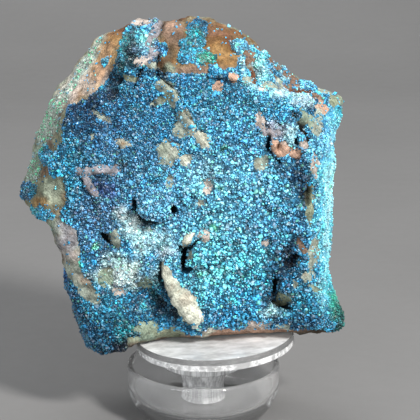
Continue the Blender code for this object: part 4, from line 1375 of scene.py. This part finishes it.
@dataclass
class Growth:
    """A layer of crystals over part of the rock: its bed and the crystals on it."""

    surface: Surface
    thickness: float = 0.62 * MM
    root_depth: float = 0.30 * MM
    thinnest: float = 0.20 * MM
    taper: tuple[float, ...] = (0.10, 0.32, 0.55, 0.75, 0.90, 1.0)

    def chosen_faces(self, covered: np.ndarray) -> np.ndarray:
        """The faces under the layer, without corners that touch at one point only.

        Args:
            covered: which of the surface's points it covers.

        Returns:
            The faces.
        """
        quads = self.surface.skin.quads
        chosen = covered[quads].all(axis=1)
        for _ in range(8):
            pinched = self._pinched(quads[chosen])
            if not pinched.any():
                break
            chosen &= ~pinched[quads].any(axis=1)
        return quads[chosen]

    def _pinched(self, faces: np.ndarray) -> np.ndarray:
        """Which points have more than two border edges."""
        ends = self._border(faces)
        return np.bincount(ends.ravel(), minlength=len(self.surface.seen)) > 2

    @staticmethod
    def _border(faces: np.ndarray) -> np.ndarray:
        """The edges that only one face uses.

        Args:
            faces: the faces.

        Returns:
            Those edges, each in its face's order.
        """
        edges = np.concatenate([faces[:, [i, (i + 1) % 4]] for i in range(4)])
        keys = np.sort(edges, axis=1)
        _, first, count = np.unique(keys, axis=0, return_index=True, return_counts=True)
        return edges[first[count == 1]]

    def _rings(self, faces: np.ndarray) -> np.ndarray:
        """How many edges each point is in from the border.

        Args:
            faces: the faces inside that border.

        Returns:
            One number a point, no more than the taper is long.
        """
        last = len(self.taper) - 1
        depth = np.full(len(self.surface.seen), last)
        depth[np.unique(self._border(faces))] = 0
        for ring in range(last - 1):
            reached = np.unique(faces[(depth[faces] == ring).any(axis=1)])
            depth[reached[depth[reached] > ring + 1]] = ring + 1
        return depth

    def bed(self, covered: np.ndarray, lumps: np.ndarray) -> Bed:
        """Build the bed as a closed layer.

        Args:
            covered: which of the surface's points it covers.
            lumps: extra height of each of them.

        Returns:
            The bed.
        """
        faces = self.chosen_faces(covered)
        surface = self.surface
        used = np.unique(faces)
        number = np.full(len(surface.seen), -1)
        number[used] = np.arange(len(used))
        taper = np.array(self.taper)[self._rings(faces)]
        floor = surface.lift - self.root_depth
        top = surface.relief * taper + surface.lift * (1 - taper) + (self.thickness + lumps) * taper
        top = np.maximum(top, floor + self.thinnest)
        points = np.concatenate((surface.skin.moved(top)[used], surface.skin.moved(floor)[used]))
        upper = number[faces]
        lower = upper[:, ::-1] + len(used)
        start, end = number[self._border(faces)].T
        wall = np.stack((end, start, start + len(used), end + len(used)), axis=1)
        return Bed(points, np.concatenate((upper, lower, wall)), np.concatenate((used, used)), len(faces))


@dataclass
class Crust:
    """The blue crystal crust over the front and the right rim."""

    rock: HostRock
    painted_bed_shade: tuple[float, float] = (0.27, 0.95)
    painted_shade_cast: Rgb = (0.80, 1.00, 1.10)
    deepest: float = 1.05
    seed: int = 21
    furthest_back: float = 7.5 * MM
    wave_mm: tuple[float, float] = (0.28, 2.6)
    ridge_mm: tuple[float, float] = (0.16, 4.2)
    clump_size_mm: float = 1.45
    clump_rise_mm: tuple[float, float] = (0.30, 0.30)
    clump_drop_mm: float = 0.12
    crevice_span: tuple[float, float] = (0.02, 0.24)
    painted_crevice_shade: tuple[float, float] = (0.45, 0.55)
    brighter: tuple[float, float] = (0.09, 0.14)
    streak_size: float = 0.9 * MM
    streak_drawn: tuple[float, float, float] = (1, 1, 0.12)
    glazed_even: float = 0.5
    stray_size: float = 0.85
    stray_spread: float = 0.2
    stray_clump_size: float = 1.7 * MM
    strip_chance: float = 0.60
    coarse: Mark = Mark(255, 225, 70, 90, soft=0.5)
    sizes: tuple[tuple[float, Mark], ...] = (
        (-0.16, Mark(150, 110, 60, 60, soft=0.5)), (-0.34, Mark(330, 210, 13, 110, soft=0.4)),
        (0.26, Mark(250, 230, 70, 80, soft=0.5)), (-0.22, Mark(124, 272, 27, 13, soft=0.5)),
        (-0.22, Mark(280, 88, 48, 32, 25, soft=0.5)),
    )
    parts: tuple[tuple[str, float, float], ...] = (
        ("crystals_left", -1.0, -0.013), ("crystals_middle", -0.013, 0.008), ("crystals_right", 0.008, 1.0),
    )

    def covered(self, surface: Surface) -> np.ndarray:
        """Where the crust lies.

        Args:
            surface: the rock's surface.

        Returns:
            Whether it covers each point.
        """
        within = inside_outline(surface.warped, CRUST_OUTLINE)
        behind = surface.skin.points[:, 1] > self.furthest_back
        turned_front = surface.facing > 0.6 * surface.ragged - 0.22
        bare = surface.strongest(BARE) >= 0.5
        return within & turned_front & ~bare & (surface.freedom > 0.6) & ~behind

    def build(
        self, bed_finish: bpy.types.Material, crystal_finish: bpy.types.Material
    ) -> list[bpy.types.Object]:
        """Make the bed, its crystals and those scattered round it, in place of the CAD node.

        Args:
            bed_finish: the bed's material.
            crystal_finish: the crystals' material.

        Returns:
            The pieces.
        """
        surface = self.rock.fine
        covered = self.covered(surface)
        bed = Growth(surface).bed(covered, self.lumps(surface))
        zones = self.zones(surface)
        glazed = surface.under(GLAZED)
        # Painted shade: the bed in the gaps between the crystals is darkened and turned bluer; pale zones and
        # the glazed strip are darkened less.
        dark, pale = self.painted_bed_shade
        paleness = np.maximum(ease_between(*PALE_SPAN, zones[:, 0]), glazed)[bed.owners, None]
        shade = (dark + (pale - dark) * paleness) * np.array(self.painted_shade_cast) ** (1 - paleness)
        ground = make_piece("crust_bed", bed.points, bed.faces, bed_finish, zones[bed.owners] * shade)
        ground.data.shade_smooth()
        pieces = [placed(ground, "cornetite_crust")]
        dice = np.random.default_rng(self.seed)
        size = self.crystal_scale(surface)[bed.owners]
        spots = CrystalField().spots(bed.points, bed.upward, size, dice)
        spots = spots.kept(dice.random(len(spots)) > self.glazed_even * glazed[bed.owners][spots.nearest])
        crystals = CrystalField().grow(spots, size[spots.nearest], dice)
        colours = crystal_colours(zones[bed.owners][spots.nearest], dice)
        x = spots.places[:, 0]
        for name, low, high in self.parts:
            piece = crystals.piece(name, colours, (x >= low) & (x < high), crystal_finish)
            pieces.append(placed(piece, "cornetite_crust"))
        pieces.append(self.scatter(surface, covered, zones, crystal_finish))
        LOG.info("crust: %d crystals", len(spots))
        return pieces

    def clumps(self, surface: Surface) -> tuple[np.ndarray, np.ndarray]:
        """The clumps that the crystals stand in.

        Args:
            surface: the rock's surface.

        Returns:
            How far each point is out of the crevices between them, and how coarse they are there.
        """
        swell = np.abs(Noise(self.seed).at(surface.skin.points, self.clump_size_mm * MM))
        return swell, surface.under(self.coarse)

    def lumps(self, surface: Surface) -> np.ndarray:
        """The uneven height of the bed.

        Args:
            surface: the rock's surface.

        Returns:
            One height a point, in metres.
        """
        noise = Noise(self.seed)
        swell, coarse = self.clumps(surface)
        fine_rise, coarse_rise = self.clump_rise_mm
        (wave, wave_size), (ridge, ridge_size) = self.wave_mm, self.ridge_mm
        clumps = swell * (fine_rise + coarse_rise * coarse) - self.clump_drop_mm
        waves = wave * noise.at(surface.skin.points, wave_size * MM)
        return (waves + clumps + ridge * np.abs(noise.at(surface.skin.points, ridge_size * MM))) * MM

    def zones(self, surface: Surface) -> np.ndarray:
        """The crust's colours: its tones, the streaks of the glazed strip and painted shade in the crevices
        between clumps.

        Args:
            surface: the rock's surface.

        Returns:
            One colour a point.
        """
        zones = zone_colours(surface, CRUST_TONES, Hue.AZURE, TONE_SEED)
        glazed = surface.under(GLAZED)
        drawn = surface.skin.points * self.streak_drawn
        zones *= np.exp(0.5 * glazed * Noise(self.seed).rough(drawn, self.streak_size, 2))[:, None]
        swell, coarse = self.clumps(surface)
        # Painted shade: darker in the crevices between clumps, more so where they are coarse.
        crevice = (1 - ease_between(*self.crevice_span, swell)) * (1 - glazed)
        (gain, coarse_gain), (dark, coarse_dark) = self.brighter, self.painted_crevice_shade
        return zones * np.exp(gain + coarse_gain * coarse - (dark + coarse_dark * coarse) * crevice)[:, None]

    def crystal_scale(self, surface: Surface) -> np.ndarray:
        """The size of the crystals against the usual, none in deep cracks.

        Args:
            surface: the rock's surface.

        Returns:
            One value a point.
        """
        size = np.ones(len(surface.seen))
        for change, mark in self.sizes:
            size += change * surface.under(mark)
        return np.where(surface.hollow > self.deepest, 0.0, size)

    def chances(self, surface: Surface, strip: np.ndarray) -> np.ndarray:
        """How likely a crystal is at each point of the bare rock.

        Args:
            surface: the rock's fine surface.
            strip: how surely each point is on the pale strip.

        Returns:
            One chance a point.
        """
        within = inside_outline(surface.warped, CRUST_OUTLINE)
        noise = Noise(self.seed + 1).rough(surface.skin.points, self.stray_clump_size, 3)
        clumps = ease_between(0.10, 0.75, noise)
        near_crust = 0.75 * ease_between(1.0, 0.5, surface.strongest(BARE)) + 0.36 * clumps + 0.06
        chance = np.where(within, near_crust, 0.20 * clumps)
        for mark in CLEAN:
            chance *= 1 - mark.cover(surface.warped, surface.ragged)
        return np.maximum(chance, self.strip_chance * strip)

    def scatter(
        self, surface: Surface, covered: np.ndarray, zones: np.ndarray, finish: bpy.types.Material
    ) -> bpy.types.Object:
        """Single crystals on the rock round the crust, on its bare patches and on the pale strip.

        Args:
            surface: the rock's fine surface.
            covered: which of its points the crust covers.
            zones: the crust's colour at each point.
            finish: the crystals' material.

        Returns:
            The piece.
        """
        dice = np.random.default_rng(self.seed + 1)
        strip = surface.strongest(STRIP)
        chance = self.chances(surface, strip)
        open_rock = ~covered & (surface.facing > 0.0) & (surface.hollow < 0.5) & (surface.freedom > 0.9)
        size = np.where(open_rock, self.stray_size, 0.0)
        strays = CrystalField(rise=0.10)
        spots = strays.spots(surface.skin.moved(surface.lift), surface.skin.quads, size, dice)
        spots = spots.kept(dice.random(len(spots)) < chance[spots.nearest])
        uneven = np.exp(self.stray_spread * dice.normal(size=len(spots)))
        crystals = strays.grow(spots, self.stray_size * uneven, dice)
        pale = strip[spots.nearest][:, None]
        frost = Hue.PALE_GREEN.rgb * (1 - 0.4 * dice.random((len(spots), 1)))
        green = Hue.MINT.rgb * 0.8
        picked = dice.random((len(spots), 1)) < 0.3
        colours = crystal_colours(zones[spots.nearest], dice) * (1 - pale)
        colours += np.where(picked, green, frost) * pale
        piece = crystals.piece("crystals_scattered", colours, np.ones(len(spots), bool), finish)
        LOG.info("scattered: %d crystals", len(spots))
        return placed(piece)


@dataclass
class Tufts:
    """The small growths with bare rock all round."""

    rock: HostRock
    tone_seed: int = 7
    painted_bed_shade: float = 0.26
    size: float = 0.86
    thickness: float = 0.70 * MM
    lump_height_mm: float = 0.40
    lump_size: float = 1.5 * MM
    least_facing: float = -0.1
    raggedness: float = 1.1
    first_seed: int = 40

    def build(self, finish: bpy.types.Material) -> list[bpy.types.Object]:
        """Make each growth in place of its CAD node.

        Args:
            finish: their material.

        Returns:
            The pieces.
        """
        surface = self.rock.fine
        zones = zone_colours(surface, TUFT_TONES, Hue.OCEAN, self.tone_seed)
        pieces = []
        for index, tuft in enumerate(Tuft):
            node, places = tuft.value
            covered = np.zeros(len(surface.seen), bool)
            for place in places:
                covered |= place.reach(surface.warped) + self.raggedness * surface.ragged < 1
            seed = self.first_seed + index
            lumps = self.lump_height_mm * Noise(seed).at(surface.skin.points, self.lump_size) * MM
            turned_front = surface.facing > self.least_facing
            bed = Growth(surface, thickness=self.thickness).bed(covered & turned_front, lumps)
            dice = np.random.default_rng(seed)
            spots = CrystalField().spots(bed.points, bed.upward, np.full(len(bed.points), self.size), dice)
            crystals = CrystalField().grow(spots, np.full(len(spots), self.size), dice)
            colours = crystal_colours(zones[bed.owners][spots.nearest], dice)
            # Painted shade: the bed between the tuft's crystals is darkened, and the crystals are darker at
            # their roots.
            piece = make_piece(
                f"tuft_{tuft.name.lower()}",
                np.concatenate((bed.points, crystals.points)),
                bed.faces.tolist() + (crystals.triangles + len(bed.points)).tolist(),
                finish,
                np.concatenate((zones[bed.owners] * self.painted_bed_shade, crystals.tint(colours))),
            )
            rounded = np.concatenate((np.ones(len(bed.faces), bool), crystals.rounded))
            piece.data.polygons.foreach_set("use_smooth", rounded)
            pieces.append(placed(piece, node))
        return pieces


def turned(profile: Profile, steps: int) -> Solid:
    """Turn a profile about the Z axis.

    Args:
        profile: (radius, height) pairs in millimetres, from the top's middle to the bottom's middle.
        steps: how many faces round.

    Returns:
        The points, in metres, and faces of the closed solid.
    """
    ring = profile[1:-1]
    angles = np.arange(steps) * 2 * math.pi / steps
    points = [(0.0, 0.0, profile[0][1])]
    for radius, height in ring:
        points += [(radius * math.cos(a), radius * math.sin(a), height) for a in angles]
    points.append((0.0, 0.0, profile[-1][1]))
    faces: list[tuple[int, ...]] = []
    for step in range(steps):
        after = (step + 1) % steps
        faces.append((0, 1 + step, 1 + after))
        for row in range(len(ring) - 1):
            upper, lower = 1 + row * steps, 1 + (row + 1) * steps
            faces.append((upper + step, lower + step, lower + after, upper + after))
        base = 1 + (len(ring) - 1) * steps
        faces.append((base + after, base + step, len(points) - 1))
    return np.array(points) * MM, faces


def arc(centre_r: float, centre_z: float, radius: float, start: float, end: float, count: int) -> Profile:
    """Points of an arc in a profile, between two angles in degrees."""
    angles = np.radians(np.linspace(start, end, count))
    return [(centre_r + radius * math.cos(a), centre_z + radius * math.sin(a)) for a in angles]


@dataclass
class Stand:
    """The clear display stand: plate, turned post and dish. Its sizes are in millimetres and degrees."""

    dish_radius: float = 15.9
    dish_height: float = 10.8
    dish_wall: float = 1.3
    dish_floor: float = 2.8
    dish_corner: float = 4.0
    ring_radii: tuple[float, float, float] = (10.2, 10.5, 10.9)
    ring_depth: float = 0.25
    outside: tuple[tuple[float, float], ...] = (
        (0.02, 7.4), (0.12, 5.6), (0.38, 4.3), (0.8, 3.1), (1.4, 2.0), (2.3, 0.9),
    )
    foot_radius: float = 12.2
    post_foot: float = 4.3
    post_neck: float = 5.6
    post_flare: float = 0.4
    grooves: int = 16
    groove_depth: float = 0.14
    groove_start: float = 0.6
    ungrooved: float = 1.4
    head_radius: float = 8.8
    head_depth: float = 4.3
    head_bevel: float = 0.3
    plate_radius: float = 16.4
    plate_thickness: float = 2.6
    plate_edge: float = 0.16
    plate_flat: float = 1.5
    plate_top: float = 17.4
    plate_shift: float = 2.4
    plate_tilt: float = 2.8
    gap: float = 0.3
    under_plate: float = 0.15
    steps: int = 128
    sharp_angle: float = 32.0
    top_finish: AcrylicFinish = AcrylicFinish(
        "scuffed_acrylic", 0.10, 0.03, 1.4, 0.26, haze=(0.56, 1.0), stretch=(2.6, 1.2, 1.0)
    )
    rim_finish: AcrylicFinish = AcrylicFinish(
        "rim_acrylic", 0.04, 0.05, 0.9, 0.84, haze=(0.62, 1.0), stretch=(1.6, 1.4, 1.0)
    )
    chipped_finish: AcrylicFinish = AcrylicFinish(
        "chipped_acrylic", 0.20, 0.08, 0.8, 0.28, haze=(0.50, 1.0), stretch=(1.4, 1.2, 1.0), softness=0.05
    )
    post_finish: AcrylicFinish = AcrylicFinish(
        "turned_acrylic", 0.12, 0.06, 0.6, 0.26, haze=(0.50, 1.0), stretch=(0.7, 0.7, 7.0), softness=0.06
    )
    dish_finish: AcrylicFinish = AcrylicFinish(
        "moulded_acrylic", 0.02, 0.01, 3.0, 0.885, refraction=1.14, haze=(0.96, 1.0), coat=0.8
    )

    @property
    def slope(self) -> float:
        """The plate's rise along X."""
        return math.tan(math.radians(self.plate_tilt))

    def dish(self) -> Solid:
        """Make the dish, open at the top, with a round groove in its floor.

        Returns:
            Its points and faces.
        """
        inner, lip = self.dish_radius - self.dish_wall, self.dish_wall / 2
        floor, sunk, corner = self.dish_floor, self.dish_floor - self.ring_depth, self.dish_corner
        near, middle, far = self.ring_radii
        profile = [(0.0, floor), (near, floor), (middle, sunk), (far, sunk)]
        profile += arc(inner - corner, floor + corner, corner, -84, 0, 14)
        profile += arc(inner + lip, self.dish_height - lip, lip, 180, 0, 12)
        profile += [(self.dish_radius - inset, height) for inset, height in self.outside]
        profile += [(self.foot_radius + 0.6, 0.2), (self.foot_radius, 0.0), (0.0, 0.0)]
        return turned(profile, self.steps)

    def post(self) -> Solid:
        """Make the post, its top cut to the plate's slant.

        Returns:
            Its points and faces.
        """
        foot = self.dish_floor + self.gap
        low = self.plate_top - self.plate_thickness - self.head_depth
        top = self.plate_top - self.plate_thickness - self.gap - self.under_plate
        head, neck, bevel = self.head_radius, self.post_neck, self.head_bevel
        profile = [(0.0, top), (head - bevel, top), (head, top - bevel), (head, low + bevel)]
        profile += [(head - bevel, low), (neck + self.post_flare, low), (neck, low - bevel)]
        span = low - foot - self.ungrooved
        for i in range(self.grooves):
            height = low - self.groove_start - span * i / self.grooves
            share = (low - height) / (low - foot)
            radius = self.post_foot + (neck - self.post_foot) * (1 - min(1.0, share * 1.7)) ** 1.3
            profile += [(radius, height), (radius - self.groove_depth, height - 0.5 * span / self.grooves)]
        profile += [(self.post_foot, foot + 0.5), (self.post_foot + self.post_flare, foot), (0.0, foot)]
        points, faces = turned(profile, self.steps)
        shared = ease_between(low * MM, top * MM, points[:, 2])
        points[:, 2] += shared * (points[:, 0] - self.plate_shift * MM) * self.slope
        return points, faces

    def plate(self) -> Solid:
        """Make the plate, tilted in place.

        Returns:
            Its points and faces.
        """
        edge, low, flat = self.plate_edge, -self.plate_thickness, self.plate_radius - self.plate_flat
        profile = [(0.0, 0.0), (flat, 0.0)]
        profile += arc(self.plate_radius - edge, -edge, edge, 90, 0, 8)
        profile += [(self.plate_radius + 0.02, low / 2)]
        profile += arc(self.plate_radius - edge, low + edge, edge, 0, -90, 8)
        profile += [(flat, low), (0.0, low)]
        points, faces = turned(profile, self.steps)
        tilt = math.radians(self.plate_tilt)
        x = points[:, 0] * math.cos(tilt) - points[:, 2] * math.sin(tilt)
        z = points[:, 0] * math.sin(tilt) + points[:, 2] * math.cos(tilt)
        return np.stack((x + self.plate_shift * MM, points[:, 1], z + self.plate_top * MM), axis=1), faces

    def dress_rim(self, plate: bpy.types.Mesh) -> None:
        """Give the upper half of the plate's rim its clear finish and the lower half its chipped one.

        Args:
            plate: the plate's mesh, which has the finish of its top.
        """
        plate.materials.append(self.rim_finish.material())
        plate.materials.append(self.chipped_finish.material())
        for face in plate.polygons:
            middle = self.plate_top * MM + (face.center.x - self.plate_shift * MM) * self.slope
            upper = face.center.z > middle - self.plate_thickness / 2 * MM
            face.material_index = 0 if abs(face.normal.z) > 0.8 else 1 if upper else 2

    def build(self) -> list[bpy.types.Object]:
        """Make the three pieces in place of the CAD nodes.

        Returns:
            The pieces.
        """
        pieces = []
        for name, node, (points, faces), finish in (
            ("clear_plate", "stand_plate", self.plate(), self.top_finish),
            ("clear_post", "stand_post", self.post(), self.post_finish),
            ("clear_dish", "stand_dish", self.dish(), self.dish_finish),
        ):
            piece = make_piece(name, points, faces, finish.material(), None)
            piece.data.shade_smooth()
            piece.data.set_sharp_from_angle(angle=math.radians(self.sharp_angle))
            pieces.append(placed(piece, node))
        self.dress_rim(pieces[0].data)
        return pieces


@dataclass(frozen=True)
class Lamp:
    """A square soft light."""

    name: str
    place: tuple[float, float, float]
    size: float
    power: float
    colour: Rgb

    def hang(self, target: Vector) -> None:
        """Hang the light.

        Args:
            target: what it is aimed at.
        """
        lamp = bpy.data.lights.new(self.name, "AREA")
        lamp.energy = self.power
        lamp.size = self.size
        lamp.color = self.colour
        holder = bpy.data.objects.new(self.name, lamp)
        bpy.context.scene.collection.objects.link(holder)
        holder.location = self.place
        holder.rotation_euler = (target - Vector(self.place)).to_track_quat("-Z", "Y").to_euler()


@dataclass
class Studio:
    """Floor, lights and camera."""

    floor_front: float = 1.2
    floor_back: float = 0.55
    half_width: float = 1.5
    wall_height: float = 0.9
    bend: float = 0.25
    bend_steps: int = 16
    target: tuple[float, float, float] = (0, 0, 0.045)
    lamps: tuple[Lamp, ...] = (
        Lamp("key", (0.32, -0.38, 0.46), 0.10, 6.4, (1.0, 0.985, 0.96)),
        Lamp("fill", (-0.42, -0.66, 0.15), 0.40, 2.6, (0.96, 0.98, 1.0)),
        Lamp("top", (-0.10, 0.25, 0.60), 0.40, 2.2, (1.0, 1.0, 1.0)),
    )
    sensor_mm: float = 36.0
    clip: tuple[float, float] = (0.01, 20.0)
    sky_colour: Rgb = (0.92, 0.96, 1.0)
    sky_strength: float = 0.62

    def floor(self) -> None:
        """Lay a card that curves up behind the object."""
        line = [(-self.floor_front, 0.0), (self.floor_back - self.bend, 0.0)]
        for i in range(1, self.bend_steps + 1):
            angle = math.pi / 2 * i / self.bend_steps
            along = self.floor_back - self.bend + self.bend * math.sin(angle)
            line.append((along, self.bend * (1 - math.cos(angle))))
        line.append((self.floor_back, self.wall_height))
        points = np.array([(x, y, z) for y, z in line for x in (-self.half_width, self.half_width)])
        faces = [(2 * i, 2 * i + 1, 2 * i + 3, 2 * i + 2) for i in range(len(line) - 1)]
        card = make_piece("studio_floor", points, faces, FloorFinish().material(), None)
        card.data.shade_smooth()

    def camera(self) -> None:
        """Set the camera at the front view."""
        lens = bpy.data.cameras.new("front_camera")
        lens.sensor_width = self.sensor_mm
        lens.lens = self.sensor_mm / 2 / math.tan(math.radians(VIEW.angle_deg) / 2)
        lens.clip_start, lens.clip_end = self.clip
        holder = bpy.data.objects.new("front_camera", lens)
        bpy.context.scene.collection.objects.link(holder)
        holder.location = VIEW.eye
        holder.rotation_euler = (math.radians(90 - VIEW.rise_deg), 0.0, 0.0)
        bpy.context.scene.camera = holder

    def world(self) -> None:
        """Light the scene dimly and evenly from all round."""
        sky = bpy.data.worlds.new("studio")
        sky.use_nodes = True
        background = sky.node_tree.nodes["Background"]
        background.inputs["Color"].default_value = (*self.sky_colour, 1.0)
        background.inputs["Strength"].default_value = self.sky_strength
        bpy.context.scene.world = sky

    def build(self) -> None:
        """Set up the studio."""
        self.floor()
        for lamp in self.lamps:
            lamp.hang(Vector(self.target))
        self.camera()
        self.world()
        bpy.context.scene.view_settings.view_transform = "Standard"


def main() -> None:
    """Build the specimen, its stand and the studio."""
    logging.basicConfig(level=logging.INFO, format="%(message)s")
    rock = HostRock()
    rock.measure(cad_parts["host_rock"])
    pieces = [rock.build(RockFinish().material())]
    crystal = CrystalFinish().material()
    pieces += Crust(rock).build(BedFinish().material(), crystal)
    pieces += Tufts(rock).build(crystal)
    pieces += Stand().build()
    for piece in pieces:
        LOG.info("%s: %d faces", piece.name, len(piece.data.polygons))
    Studio().build()
    bpy.context.view_layer.update()


if __name__ == "__main__":
    main()
